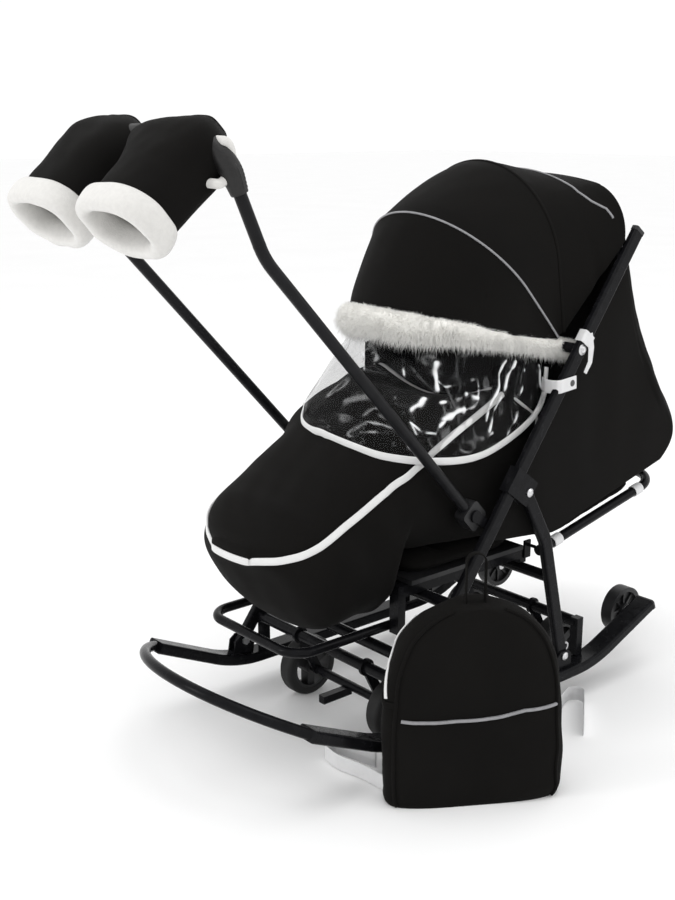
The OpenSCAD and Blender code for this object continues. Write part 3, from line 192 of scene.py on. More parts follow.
# Seat pad: a quilted cushion on the seat board, hidden under the footmuff.
# It is foam in black polyester, crowned, with sides that pull in between its corners.
def cloth(name, colour, rough=(0.75, 0.9), spread=0.2, patch=9.0, thread=0.0011, depth=0.35, sheen=0.03,
          gloss=0.12):
    """Woven fabric: two sets of bands across each other on the piece's own UV map, which is in metres, give
    the threads as bump; noise on Object coordinates moves the colour and the roughness."""
    made = finish(name, colour, rough=rough, spread=spread, patch=patch, Sheen_Weight=sheen,
                  Sheen_Roughness=0.45, Specular_IOR_Level=gloss)
    tree = made.node_tree
    lengths = add(tree, "UVMap")
    lengths.uv_map = "metres"
    threads = []
    for way in ("X", "Y"):
        band = add(tree, "TexWave", Scale=2 * np.pi / 20 / thread, Distortion=0.6, Detail=1)
        band.bands_direction = way
        join(tree, lengths, "UV", band, "Vector")
        threads.append(band)
    cross = add(tree, "Math")
    cross.operation = "MAXIMUM"
    join(tree, threads[0], "Fac", cross, 0)
    join(tree, threads[1], "Fac", cross, 1)
    bump = add(tree, "Bump", Strength=depth, Distance=0.0003)
    join(tree, cross, "Value", bump, "Height")
    join(tree, bump, "Normal", tree.nodes["Principled BSDF"], "Normal")
    return made


black_cloth = cloth("black_polyester", (0.0056, 0.0052, 0.0048), sheen=0.014, gloss=0.06)


def piece(name, points, ring=False, caps=False, inward=False, material=None, thick=0.0):
    """Mesh of a grid of points: rows by columns of quads, closed round its columns for a ring, with its
    first and last rows filled for caps. Its UV map holds the lengths along the columns and rows, in
    metres."""
    rows, cols = points.shape[:2]
    index = np.arange(rows * cols).reshape(rows, cols)
    ahead = np.roll(index, -1, 1) if ring else index[:, 1:]
    here = index if ring else index[:, :-1]
    quads = np.stack([here[:-1], ahead[:-1], ahead[1:], here[1:]], -1).reshape(-1, 4)
    faces = (quads[:, ::-1] if inward else quads).tolist()
    if caps:
        ends = [index[0, ::-1].tolist(), index[-1].tolist()]
        faces += [end[::-1] for end in ends] if inward else ends
    mesh = bpy.data.meshes.new(name)
    mesh.from_pydata(points.reshape(-1, 3).tolist(), [], faces)
    across = np.linalg.norm(np.diff(points, axis=1, append=points[:, :1] if ring else points[:, -1:]), axis=2)
    along = np.linalg.norm(np.diff(points, axis=0, prepend=points[:1]), axis=2)
    u = np.cumsum(across, 1) - across
    v = np.cumsum(along, 0)
    lengths = np.stack([u.mean(0) + 0 * u, v.mean(1)[:, None] + 0 * v], -1).reshape(-1, 2)
    corner = np.empty(len(mesh.loops), np.int32)
    mesh.loops.foreach_get("vertex_index", corner)
    mesh.uv_layers.new(name="metres").data.foreach_set("uv", lengths[corner].astype(np.float32).ravel())
    mesh.polygons.foreach_set("use_smooth", np.ones(len(mesh.polygons), bool))
    mesh.materials.append(material)
    made = shown(name, mesh)
    if thick:
        wall = made.modifiers.new("thickness", "SOLIDIFY")
        wall.thickness = thick
        wall.offset = -1
    return made


def oval(half_w, half_h, power, turn):
    """Super-ellipse: cosine and sine of the turn, each raised to a power with its sign kept, times a half
    size."""
    across, up = np.cos(turn), np.sin(turn)
    return (half_w * np.sign(across) * np.abs(across) ** power, half_h * np.sign(up) * np.abs(up) ** power)


def ripple(points, wave, seed, waves=9):
    """Sum of sine waves of about one wavelength whose directions and phases are drawn from the seed."""
    draw = np.random.default_rng(seed)
    ways = draw.normal(size=(waves, 3))
    ways *= (2 * np.pi / wave * draw.uniform(0.6, 1.5, (waves, 1))
             / np.linalg.norm(ways, axis=1, keepdims=True))
    return np.sin(points @ ways.T + draw.uniform(0, 2 * np.pi, waves)).mean(-1) * 2


def wrinkles(points, stretch, broad, fine):
    """Broad waves over stretched places plus fine waves, each given as height, wavelength and seed."""
    return broad[0] * ripple(points * stretch, *broad[1:]) + fine[0] * ripple(points, *fine[1:])


def places(mesh):
    """All vertex places of a mesh as one array."""
    flat = np.empty(3 * len(mesh.vertices), np.float32)
    mesh.vertices.foreach_get("co", flat)
    return flat.reshape(-1, 3).astype(float)


def inflate(pad, most, cell=0.006, pressure=4.0):
    """Fills a closed pad: its skin is remeshed in even cells and blown up as cloth from inside for twenty
    steps, and no point moves further than the cap. The lengths along X and along the pad become its UV
    map."""
    even = pad.modifiers.new("even_cells", "REMESH")
    even.mode = "VOXEL"
    even.voxel_size = cell
    even.use_smooth_shade = True
    graph = bpy.context.evaluated_depsgraph_get()
    before = places(bpy.data.meshes.new_from_object(pad.evaluated_get(graph)))
    skin = pad.modifiers.new("skin", "CLOTH")
    skin.settings.quality = 5
    skin.settings.mass = 0.3
    skin.settings.tension_stiffness = 15
    skin.settings.compression_stiffness = 15
    skin.settings.bending_stiffness = 0.5
    skin.settings.use_pressure = True
    skin.settings.uniform_pressure_force = pressure
    skin.settings.effector_weights.gravity = 0
    skin.point_cache.frame_start = 1
    skin.point_cache.frame_end = 20
    for step in range(1, 21):
        scene.frame_set(step)
    full = bpy.data.meshes.new_from_object(pad.evaluated_get(bpy.context.evaluated_depsgraph_get()))
    move = places(full) - before
    far = np.linalg.norm(move, axis=1, keepdims=True)
    after = before + move * np.minimum(1, most / np.maximum(far, 1e-9))
    full.vertices.foreach_set("co", after.astype(np.float32).ravel())
    corner = np.empty(len(full.loops), np.int32)
    full.loops.foreach_get("vertex_index", corner)
    lengths = np.stack([after[:, 0], after[:, 1] + after[:, 2]], 1)
    metres = full.uv_layers.get("metres") or full.uv_layers.new(name="metres")
    metres.data.foreach_set("uv", lengths[corner].astype(np.float32).ravel())
    full.polygons.foreach_set("use_smooth", np.ones(len(full.polygons), bool))
    full.materials.clear()
    full.materials.append(pad.data.materials[0])
    pad.modifiers.clear()
    pad.data = full
    scene.frame_set(1)


def full_turn(count):
    """Even angles all the way round."""
    return np.linspace(0, 2 * np.pi, count, endpoint=False)


def bell(far, width):
    """Bell curve: one at no distance, and falling with the square of the distance over its width."""
    return np.exp(-(far / width) ** 2)


pad_thick = 0.024
pad_crown = 0.004
pad_swell = 0.005
sewn_wide = 0.008
sewn_deep = 0.008


def quilted_pad(name, size, crown, origin, lean, body, node):
    """Padded block: rows of super-ellipses climb its side, which swells by a sine, and close over a crowned
    top; two sewn lines across it sink by a narrow bell. The whole leans about X and moves to its place."""
    width, length, height = size
    turn = full_turn(160)
    climb = np.linspace(0, 1, 24)
    shrink = np.concatenate([np.linspace(0.02, 0.9, 12), 0.9 + 0.08 * np.sin(np.pi * climb),
                             np.linspace(0.89, 0.02, 40)])
    rise = np.concatenate([np.zeros(12), height * climb, np.full(40, height)])
    x, y = oval(width / 2, length / 2, 0.35, turn)
    top = np.arange(len(shrink)) >= 36
    points = np.stack([shrink[:, None] * x, shrink[:, None] * y, rise[:, None] + 0 * x], -1)
    points[..., 2] += (crown * (1 - shrink ** 2) * top)[:, None]
    sewn = sum(bell(points[..., 1] - at * length, sewn_wide) for at in (-0.18, 0.18))
    points[..., 2] -= sewn_deep * sewn * top[:, None]
    tilt = np.radians(lean)
    y, z = points[..., 1].copy(), points[..., 2].copy()
    points[..., 1] = y * np.cos(tilt) - z * np.sin(tilt)
    points[..., 2] = y * np.sin(tilt) + z * np.cos(tilt)
    points += np.array(origin)
    pad = piece(name, points, ring=True, caps=True, material=black_cloth)
    inflate(pad, pad_swell)
    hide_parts(node)
    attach(pad, body)
    return pad


seat_low, seat_high = (np.array(c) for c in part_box("seat_pad"))
quilted_pad("seat_cushion", (*(seat_high - seat_low)[:2], pad_thick), pad_crown,
            (0, (seat_low[1] + seat_high[1]) / 2, seat_low[2] + 0.001), 0, "chassis", "seat_pad")

# Backrest pad: a flat cushion that lies in the backrest frame and leans with it.
# It is the seat pad's foam and cloth, sewn through twice.
bed_hinge = np.array([0, 0.078, 0.29196])
bed_degrees = 12
bed_lean = np.radians(bed_degrees)
bed_middle = 0.168
bed_depth = 0.007
bed_place = bed_hinge + [0, bed_middle * np.cos(bed_lean) + bed_depth * np.sin(bed_lean),
                         bed_middle * np.sin(bed_lean) - bed_depth * np.cos(bed_lean)]
quilted_pad("backrest_cushion", (0.342, 0.296, pad_thick), pad_crown, bed_place, bed_degrees, "backrest",
            "backrest_pad")

# Footmuff: a padded bag for the legs in black polyester, open towards the seat, over the footrest.
# White binding covers the seam between its lid and its sides and the rim of its mouth.
muff_front = -0.459
muff_long = 0.426
muff_floor = 0.2203
muff_high = 0.382
muff_half = 0.1615
muff_wall = 0.012
muff_mouth = 1.05
muff_back = 0.2
muff_sag = 0.05
muff_nose = 0.009
muff_top = np.array([[0, 0.42], [0.05, 0.448], [0.12, 0.556], [0.25, 0.642], [0.45, 0.794], [0.65, 0.921],
                     [0.85, 0.972], [1, 1]])
muff_low = np.array([[0, 0.348], [0.05, 0.3], [0.12, 0.134], [0.2, 0.03], [0.25, 0], [0.5, 0],
                     [0.545, 0.2825], [1, 0.2825]])
muff_wide = np.array([[0, 0.3], [0.02, 0.42], [0.05, 0.605], [0.1, 0.814], [0.15, 0.934], [0.2, 0.992],
                      [0.23, 1], [1, 1]])
muff_round = np.array([[0, 2.53], [0.45, 2.53], [0.62, 3.4], [0.8, 5], [0.92, 8], [1, 9]])
muff_seam = np.array([[-0.459, 0.3585], [-0.4496, 0.3624], [-0.4394, 0.3669], [-0.4223, 0.3761],
                      [-0.3984, 0.3901], [-0.3719, 0.4042], [-0.3173, 0.4294], [-0.2635, 0.4558],
                      [-0.2131, 0.4857], [-0.1944, 0.494], [-0.1746, 0.5070], [-0.1229, 0.5314],
                      [-0.0651, 0.5569], [-0.0069, 0.5823], [0.01, 0.588]])
tape_wide = 0.0125
lid_tape_thick = 0.005
mouth_tape_wide = 0.014
mouth_tape_thick = 0.007
seam_deep = 0.0022
seam_narrow = 0.009
seam_calm = 0.02


def eased(table, share, blur=0.03):
    """Reads a table of shares by straight lines and averages the reading over a few places near each
    share."""
    around = np.linspace(-blur, blur, 9)
    return np.interp(np.clip(share[..., None] + around, 0, 1), table[:, 0], table[:, 1]).mean(-1)


def muff_section(share, inset):
    """Half-width, middle height and half-height of the footmuff at a share of its length, inside by an
    inset."""
    top = muff_floor + muff_high * eased(muff_top, share, 0.02) - inset
    low = muff_floor + muff_high * eased(muff_low, share, 0.02) + inset
    return muff_half * eased(muff_wide, share, 0.015) - inset, (top + low) / 2, (top - low) / 2


def muff_skin(share, turn, inset=0.0):
    """Super-elliptic rings along Y, drawn by their distance at each angle, each with the half-width and
    heights of its share of the length and squarer towards the mouth. Past the full length the sides run
    further back than the lid, and the lid sags between them by a parabola."""
    share, turn = np.broadcast_arrays(share, turn)
    exponent = eased(muff_round, share)
    far = (np.abs(np.cos(turn)) ** exponent + np.abs(np.sin(turn)) ** exponent) ** (-1 / exponent)
    past = np.clip(share - 1, 0, 1) / (muff_mouth - 1)
    share = share + muff_back * past * np.clip((0.93 - far * np.sin(turn)) / 0.45, 0, 1)
    half, middle, tall = muff_section(share, inset)
    across, up = half * far * np.cos(turn), tall * far * np.sin(turn)
    hang = np.clip((share - 0.7) / 0.35, 0, 1)
    sink = muff_sag * hang ** 2 * (3 - 2 * hang) * np.clip(up / tall, 0, 1) * (1 - (across / half) ** 2)
    return np.stack([across, muff_front + muff_long * share, middle + up - sink], -1)


def unit(ways):
    """The same directions, each of length one."""
    return ways / np.maximum(np.linalg.norm(ways, axis=-1, keepdims=True), 1e-12)


def normals(points, ring=False):
    """Unit normals of a grid of points: the cross product of its steps along columns and along rows."""
    if ring:
        across = np.roll(points, -1, 1) - np.roll(points, 1, 1)
    else:
        across = np.gradient(points, axis=1)
    return unit(np.cross(across, np.gradient(points, axis=0)))


def rounded_end(ring, smallest, rows, push):
    """Rows that close a ring towards its middle by a quarter of an ellipse, whose height is the push."""
    close = np.sin(np.pi / 2 * np.linspace(smallest, 1, rows)[:-1])[:, None, None]
    middle = ring.mean(1, keepdims=True)
    return middle + (ring - middle) * close + push * np.sqrt(1 - close ** 2)


muff_turn = full_turn(240)
muff_share = np.concatenate([np.linspace(0, 0.12, 40), np.linspace(0.125, muff_mouth, 120)])
outer = muff_skin(muff_share[:, None], muff_turn[None])
from_seam = outer[..., 2] - np.interp(outer[..., 1], muff_seam[:, 0], muff_seam[:, 1])
away = 1 - bell(from_seam, seam_calm)
crease = wrinkles(outer, [0.6, 1, 1.4], (0.0028, 0.17, 11), (0.0008, 0.06, 12))
pull = bell(from_seam + 0.05, 0.04) * 0.0018 * np.sin(outer[..., 1] * 75 + outer[..., 2] * 40)
fade = (np.clip(muff_share / 0.08, 0, 1) * np.clip((muff_mouth - muff_share) / 0.05, 0, 1))[:, None]
sunk = -seam_deep * bell(from_seam, seam_narrow)
sink = ((crease + pull) * away + 0.0025 * away) * fade + sunk * fade
outer = outer - normals(outer, True) * sink[..., None]
toe = rounded_end(outer[:1], 0.04, 12, np.array([0, -muff_nose, 0]))
inner = muff_skin(np.linspace(muff_mouth, 0.06, 60)[:, None], muff_turn[None], muff_wall)
footmuff = piece("footmuff_shell", np.concatenate([toe, outer, inner]), ring=True, caps=True, inward=True,
                 material=black_cloth)
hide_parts("footmuff")
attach(footmuff, "chassis")

white_tape = cloth("white_binding", (0.75, 0.75, 0.745), rough=(0.6, 0.75), spread=0.03, patch=60,
                   thread=0.0008, depth=0.5, sheen=0.0, gloss=0.2)


def sweep(path, up, width, height, sides=12, power=0.7, closed=False):
    """Carries a super-elliptic profile along a path: across it by the cross product of tangent and up. Up,
    width and height may change from point to point."""
    if closed:
        ahead = np.roll(path, -1, 0) - np.roll(path, 1, 0)
    else:
        ahead = np.gradient(path, axis=0)
    ahead = unit(ahead)
    side = unit(np.cross(ahead, up))
    lift = np.cross(side, ahead)
    across, rise = oval(0.5, 0.5, power, full_turn(sides))
    side = side * np.broadcast_to(width, len(path))[:, None]
    lift = lift * np.broadcast_to(height, len(path))[:, None]
    rings = path[:, None] + across[None, :, None] * side[:, None] + rise[None, :, None] * lift[:, None]
    return np.concatenate([rings, rings[:1]]) if closed else rings


def evenly(path, step):
    """The same path with points at even lengths."""
    far = np.concatenate([[0], np.cumsum(np.linalg.norm(np.diff(path, axis=0), axis=1))])
    at = np.linspace(0, far[-1], max(4, int(far[-1] / step)))
    return np.stack([np.interp(at, far, path[:, k]) for k in range(3)], 1)


def trim(name, rings, material, body, ring=True, caps=True):
    """A trim that is carried by one body: the swept rings of a tape, cord or band."""
    made = piece(name, rings, ring=ring, caps=caps, material=material)
    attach(made, body)
    return made


# The lid seam: for each ring the angle where its height is the seam's, round the nose to the other side
seam_share = np.linspace(muff_mouth, 0.0, 160)
half, middle, tall = muff_section(seam_share, 0.0)
level = np.interp(muff_front + muff_long * seam_share, muff_seam[:, 0], muff_seam[:, 1])
rise = np.clip((level - middle) / tall, -0.95, 0.95)
exponent = eased(muff_round, seam_share)
wide = (1 - np.abs(rise) ** exponent) ** (1 / exponent)
near = np.stack([half * wide, muff_front + muff_long * seam_share, middle + tall * rise], 1)
ahead_out = np.clip(1 - seam_share / 0.12, 0, 1)
out = np.stack([wide ** (exponent - 1), 0 * rise, np.sign(rise) * np.abs(rise) ** (exponent - 1)], 1)
out = out * (1 - 0.7 * ahead_out)[:, None] - np.outer(ahead_out, [0, 1, 0])
across = np.cos(np.linspace(0, np.pi, 30))[1:-1]
front = np.stack([near[-1, 0] * across, muff_front - muff_nose * np.sqrt(1 - across ** 2),
                  np.full(28, near[-1, 2])], 1)
lid_line = np.concatenate([near, front, near[::-1] * [-1, 1, 1]])
lid_out = unit(np.concatenate([out, np.tile([0.0, -1, 0], (28, 1)), out[::-1] * [-1, 1, 1]]))
rings = sweep(lid_line + 0.0004 * lid_out, lid_out, tape_wide, lid_tape_thick)
trim("lid_binding", rings, white_tape, "chassis")
mouth_turn = np.linspace(0.05, np.pi - 0.05, 200)
mouth_line = muff_skin(np.full(200, muff_mouth), mouth_turn, 0.005)
rings = sweep(mouth_line, [0.0, 1, 0], mouth_tape_wide, mouth_tape_thick)
trim("mouth_binding", rings, white_tape, "chassis")

# Hood: one sewn cover of black polyester stretched over three flat steel bows and the fixed rear arch.
# Its panels meet in seams on the bows; grey reflective cord is sewn into one seam and the rear flap's edge.
hood_pivot = np.array([0, 0.12009, 0.64683])
bow_half = 0.170
bow_lean = np.radians(3)
bow_slopes = np.radians([15.5, 48, 83])
bow_reaches = np.array([0.275, 0.295, 0.300])
leg_share = 0.4
cover_base = 0.93
cover_sag = 0.0038
cover_off = 0.0075
cover_thick = 0.0016
arch_base = 0.85
arch_x = 0.1972
arch_y = 0.2283
arch_foot = 0.792
arch_leg = 0.039
arch_corner = 0.074
arch_turn = np.radians(79.5)
crown_radius = 0.75005
edge_shares = np.array([[0, 0], [0.6, 0], [0.7, 0.06], [0.8, 0.14], [0.9, 0.32], [1, 0.8]])
flap_shares = np.array([[0, 2.62], [0.4, 2.62], [0.5, 2.69], [0.62, 2.825], [0.7, 2.86], [1, 2.9]])


def bow_line(half, reach, share):
    """Flat outline of a bow as across and reach: a leg that leans inwards, then a round crown."""
    crown = (half - reach * np.tan(bow_lean)) * np.cos(bow_lean) / (1 - np.sin(bow_lean))
    leg = (reach - crown * (1 - np.sin(bow_lean))) / np.cos(bow_lean)
    climb = 1 - np.abs(share)
    low = np.minimum(climb / leg_share, 1)
    turn = bow_lean + np.clip((climb - leg_share) / (1 - leg_share), 0, 1) * (np.pi / 2 - bow_lean)
    on_leg = climb < leg_share
    across = np.where(on_leg, half - low * leg * np.sin(bow_lean), crown * np.cos(turn))
    ahead = np.where(on_leg, low * leg * np.cos(bow_lean), reach - crown + crown * np.sin(turn))
    return np.sign(share) * across, ahead


def on_bow(slope, flat, lift=0.0):
    """Puts a flat outline into a bow's plane at its slope about the hood pivot; lift goes below that
    plane."""
    across, ahead = flat
    return np.stack([across, hood_pivot[1] - ahead * np.cos(slope) - lift * np.sin(slope),
                     hood_pivot[2] + ahead * np.sin(slope) - lift * np.cos(slope)], -1)


def arch_line(off, share):
    """Rear arch outline at an offset: upright leg, round corner, then a flat round crown."""
    climb = 1 - np.abs(share)
    bend = arch_turn * np.clip((climb - 0.2) / 0.5, 0, 1)
    crown = np.pi / 2 + (arch_turn - np.pi / 2) * np.clip((1 - climb) / 0.3, 0, 1)
    base = arch_foot + arch_leg
    across = np.where(climb < 0.2, arch_x + off, np.where(climb < 0.7, arch_x - arch_corner
                      + (arch_corner + off) * np.cos(bend), (crown_radius + off) * np.cos(crown)))
    up = np.where(climb < 0.2, base - arch_leg * (1 - climb / 0.2), np.where(
        climb < 0.7, base + (arch_corner + off) * np.sin(bend), base + (arch_corner - crown_radius)
        * np.sin(arch_turn) + (crown_radius + off) * np.sin(crown)))
    return np.stack([np.sign(share) * across, np.full_like(across, arch_y), up], -1)


def hood_skin(row, share, off):
    """Cover between four ribs: rows 0 to 3 are the front, middle and top bows and the rear arch. Between
    two bows the distance from the pivot is mixed and drawn in by a sine; between top bow and arch the lines
    are straight."""
    share, row = np.broadcast_arrays(share, row)
    ribs = [on_bow(slope, bow_line(bow_half + off, reach + off, share * cover_base))
            for slope, reach in zip(bow_slopes, bow_reaches)] + [arch_line(off + 0.004, share * arch_base)]
    ribs = np.stack(ribs)
    first = np.clip(np.floor(row).astype(int), 0, 2)
    part = (row - first)[..., None]
    a = np.take_along_axis(ribs, first[None, ..., None], 0)[0]
    b = np.take_along_axis(ribs, first[None, ..., None] + 1, 0)[0]
    straight = a * (1 - part) + b * part
    spoke = straight - hood_pivot
    far = np.linalg.norm(spoke, axis=-1, keepdims=True)
    full = (np.linalg.norm(a - hood_pivot, axis=-1, keepdims=True) * (1 - part)
            + np.linalg.norm(b - hood_pivot, axis=-1, keepdims=True) * part)
    drawn = hood_pivot + spoke * (0.2 * far + 0.8 * full - cover_sag * np.sin(np.pi * part)) / far
    return np.where(first[..., None] < 2, drawn, straight)


hood_rows = np.linspace(0, 3, 181)
hood_cols = np.linspace(-1, 1, 201)
front_edge = eased(edge_shares, np.abs(hood_cols))[None] * np.clip(1 - hood_rows, 0, 1)[:, None]
cover = hood_skin(hood_rows[:, None] + front_edge, hood_cols[None], cover_off)
rib_near = np.abs(hood_rows - np.round(hood_rows))[:, None]
slack = np.clip(rib_near / 0.15, 0, 1)
flap_row = np.interp(np.abs(hood_cols), flap_shares[:, 0], flap_shares[:, 1])[None]
slack = slack * (1 - bell(hood_rows[:, None] - flap_row, 0.07))
drape = wrinkles(cover, [1, 1, 0.5], (0.0016, 0.2, 21), (0.0005, 0.06, 22))
loose = np.clip(np.abs(hood_cols) - 0.35, 0, 1)[None] * np.clip(hood_rows - 1.9, 0, 1)[:, None]
gather = 0.008 * loose * np.sin(hood_rows[:, None] * 2 * np.pi * 2.3 + 1.2 * np.sin(4 * hood_cols[None]))
ridge = 0.0010 * bell(rib_near, 0.012) * (hood_rows[:, None] > 0.5)
wave = (drape + gather) * slack + ridge
wave = np.where(np.abs(cover[..., 0]) > 0.15, np.minimum(wave, 0), wave)
cover = cover + normals(cover) * wave[..., None]
hood_cover = piece("hood_fabric", cover, inward=True, material=black_cloth, thick=cover_thick)
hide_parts("hood_cover")
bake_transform(hood_cover)

grey_cord = cloth("grey_reflective_cord", (0.26, 0.26, 0.27), rough=(0.3, 0.45), spread=0.12, patch=120,
                  thread=0.0009, depth=0.4, sheen=0.0, gloss=0.4)


def along_hood(name, rows, shares, width, height, material, lift=0.001):
    """Cord or tape that follows a line of rows and shares over the hood's cover."""
    line = hood_skin(rows, shares, 0.0078)
    beside = hood_skin(rows - 0.01, shares, 0.0078) - line
    ahead = np.gradient(line, axis=0)
    out = unit(np.cross(ahead, beside))
    out *= np.sign((out * (line - hood_pivot)).sum(1, keepdims=True))
    made = piece(name, sweep(line + lift * out, out, width, height), ring=True, caps=True, material=material)
    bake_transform(made)
    return made


cord_wide = 0.0034
flap_cord_wide = 0.0038
seam_wide = 0.006
seam_high = 0.0035
hem_wide = 0.012
hem_high = 0.003
rib = np.linspace(-1, 1, 200)
along_hood("front_seam_cord", np.full(200, 1.0), rib, cord_wide, cord_wide, grey_cord, 0.0018)
along_hood("top_seam", np.full(200, 2.0), rib, seam_wide, seam_high, black_cloth, 0.0012)
along_hood("cover_front_hem", 0.03 + eased(edge_shares, np.abs(rib)), rib, hem_wide, hem_high, black_cloth,
           0.0002)
flap = np.linspace(-0.72, 0.72, 200)
flap_rows = np.interp(np.abs(flap), flap_shares[:, 0], flap_shares[:, 1])
along_hood("flap_cord", flap_rows, flap, flap_cord_wide, flap_cord_wide, grey_cord, 0.0012)

# Fur trim: a roll of ivory long-pile fur sewn under the hood's front edge.
# Its pile is geometry: thin tapered hairs that lean outwards and hang on the lower side.
fur_half = 0.162
fur_reach = 0.283
fur_below = 0.0243
fur_past = 0.044
fur_lift = np.array([[-0.045, 0.027], [0, 0.0255], [0.095, 0.0205], [0.19, 0.013], [0.27, 0.003]])
fur_spread = 0.003
fur_step = 0.004
fur_thick = 0.0178
fur_taper = 0.0060
fur_across, fur_ahead = bow_line(fur_half, fur_reach, np.linspace(-1, 1, 200))
fur_across = np.concatenate([[-fur_half], fur_across, [fur_half]])
fur_across = fur_across + fur_spread * np.sign(fur_across) * (np.abs(fur_across) > 0.1)
fur_ahead = np.concatenate([[-fur_past], fur_ahead, [-fur_past]])
fur_depth = fur_below - np.interp(fur_ahead, fur_lift[:, 0], fur_lift[:, 1])
fur_line = evenly(on_bow(bow_slopes[0], (fur_across, fur_ahead), fur_depth), fur_step)
fur_radius = fur_thick - fur_taper * np.clip(np.abs(fur_line[:, 0]) / fur_half - 0.5, 0, 0.5) / 0.5
fur_up = [0, -np.sin(bow_slopes[0]), np.cos(bow_slopes[0])]
fur_white = finish("ivory_fur", (0.985, 0.975, 0.94), rough=(0.8, 0.95), spread=0.015, patch=90, grain=0.3,
                   grain_scale=700, Sheen_Weight=0.5, Sheen_Roughness=0.5)
ends = np.minimum(np.arange(len(fur_line)), np.arange(len(fur_line))[::-1]) / 2
fur_girth = 2 * fur_radius * np.sin(np.pi / 2 * np.clip(ends, 0.08, 1))
core = sweep(fur_line, fur_up, fur_girth, fur_girth, sides=40, power=1.0)
core += normals(core, True) * (0.0015 * ripple(core, 0.03, 31))[..., None]
fur_core = piece("fur_roll", core, ring=True, caps=True, material=fur_white)
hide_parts("fur_trim")
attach(fur_core, "front_bow")


hair_spread = 0.35
hair_curl = 0.22


def pile(name, roots, outs, lengths, droop, radius, material, seed):
    """Hairs: each a three-sided taper of two rings and a tip, that leaves its root along the surface's
    normal and bends down by the square of its length. All hairs are computed at once."""
    draw = np.random.default_rng(seed)
    count = len(roots)
    way = unit(outs + draw.normal(scale=hair_spread, size=(count, 3)))
    side = unit(np.cross(way, draw.normal(size=(count, 3))))
    other = np.cross(way, side)
    curl = draw.normal(scale=hair_curl, size=(count, 3)) - [0, 0, droop]
    rings = []
    for share, girth in ((0.0, 1.0), (0.5, 0.8)):
        mid = roots + lengths[:, None] * (share * way + share ** 2 * curl)
        for turn in 2 * np.pi * np.arange(3) / 3:
            rings.append(mid + radius * girth * (np.cos(turn) * side + np.sin(turn) * other))
    tip = roots + lengths[:, None] * (way + curl)
    points = np.stack(rings + [tip], 1)
    face = [[0, 1, 4], [1, 2, 5], [2, 0, 3], [0, 4, 3], [1, 5, 4], [2, 3, 5], [3, 4, 6], [4, 5, 6], [5, 3, 6]]
    faces = (np.array(face)[None] + 7 * np.arange(count)[:, None, None]).reshape(-1, 3)
    mesh = bpy.data.meshes.new(name)
    mesh.from_pydata(points.reshape(-1, 3).tolist(), [], faces.tolist())
    mesh.polygons.foreach_set("use_smooth", np.ones(len(mesh.polygons), bool))
    mesh.materials.append(material)
    return shown(name, mesh)


def scattered(grid, count, seed):
    """Places drawn evenly over a grid closed round its columns, with the outward normals there."""
    draw = np.random.default_rng(seed)
    outs = normals(grid, True)
    outs *= np.sign((outs * (grid - grid.mean(1, keepdims=True))).sum(-1, keepdims=True))
    row = draw.uniform(0, grid.shape[0] - 1.001, count)
    col = draw.uniform(0, grid.shape[1], count)
    r, c = row.astype(int), col.astype(int)
    f, g = (row - r)[:, None], (col - c)[:, None]
    d = (c + 1) % grid.shape[1]
    mix = (grid[r, c] * (1 - f) * (1 - g) + grid[r + 1, c] * f * (1 - g) + grid[r, d] * (1 - f) * g
           + grid[r + 1, d] * f * g)
    return mix, outs[r, c]


hair_count = 19000
hair_droop = 0.22
hair_radius = 0.00042
hair_lengths = (0.007, 0.013)
for batch in range(2):
    fur_roots, fur_outs = scattered(core[1:-1], hair_count, 32 + batch)
    low = np.clip(-fur_outs[:, 2], 0, 1)
    high = np.clip(fur_outs[:, 2], 0, 1)
    narrow = 1 - 0.4 * np.clip(np.abs(fur_roots[:, 0]) / fur_half - 0.5, 0, 0.5)
    fur_long = np.random.default_rng(36 + batch).uniform(*hair_lengths, hair_count)
    beside = np.clip(np.abs(fur_outs[:, 0]) - 0.5, 0, 0.5) * (np.abs(fur_roots[:, 0]) > 0.14)
    fur_long = fur_long * (1 + 0.9 * low - 0.45 * high - 0.9 * beside) * narrow
    hairs = pile(f"fur_pile_{batch}", fur_roots, fur_outs, fur_long, hair_droop, hair_radius, fur_white,
                 34 + batch)
    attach(hairs, "front_bow")

# Rain window: crumpled clear film under the fur, over the footmuff's upper end, bound in white.
# It hangs from the hood's front bow and is held by a tab with a snap at each rear corner.
# Its highlights are painted: its colour and alpha turn white and nearly opaque along its creases and folds.
window_x = 0.171
window_front = -0.277
window_back = 0.081
window_low = 0.485
window_rise = 0.092
window_hang = 0.0436
window_bow = 0.016
corner_back = 0.042
corner_up = 0.030
film_thick = 0.0004
fold_high = 0.006
fold_fine = 0.0022
line_wobble = 0.0042
painted_glint_across = 0.16
painted_glint_down = -0.17
window_tape_thick = 0.004
rear_tape_wide = 0.010
hands = ((1, "left"), (-1, "right"))
window_out_shares = np.array([[0, 0], [0.035, 0.105], [0.157, 0.468], [0.236, 0.678], [0.309, 0.885],
                              [0.39, 0.985], [0.5, 0.992], [0.581, 0.994], [0.658, 0.994], [0.743, 1],
                              [1, 1]])
window_back_shares = np.array([[0, 0], [0.035, 0.0045], [0.157, 0.017], [0.236, 0.061], [0.309, 0.127],
                               [0.39, 0.232], [0.5, 0.385], [0.581, 0.503], [0.658, 0.612], [0.743, 0.729],
                               [0.836, 0.852], [0.911, 0.944], [0.964, 0.989], [1, 1]])
window_rise_shares = np.array([[0, 0.457], [0.035, 0.423], [0.157, 0.351], [0.236, 0.25], [0.309, 0.204],
                               [0.39, 0.136], [0.5, 0.038], [0.581, 0], [0.658, 0.033], [0.743, 0.163],
                               [0.836, 0.348], [0.911, 0.565], [0.964, 0.804], [1, 1]])


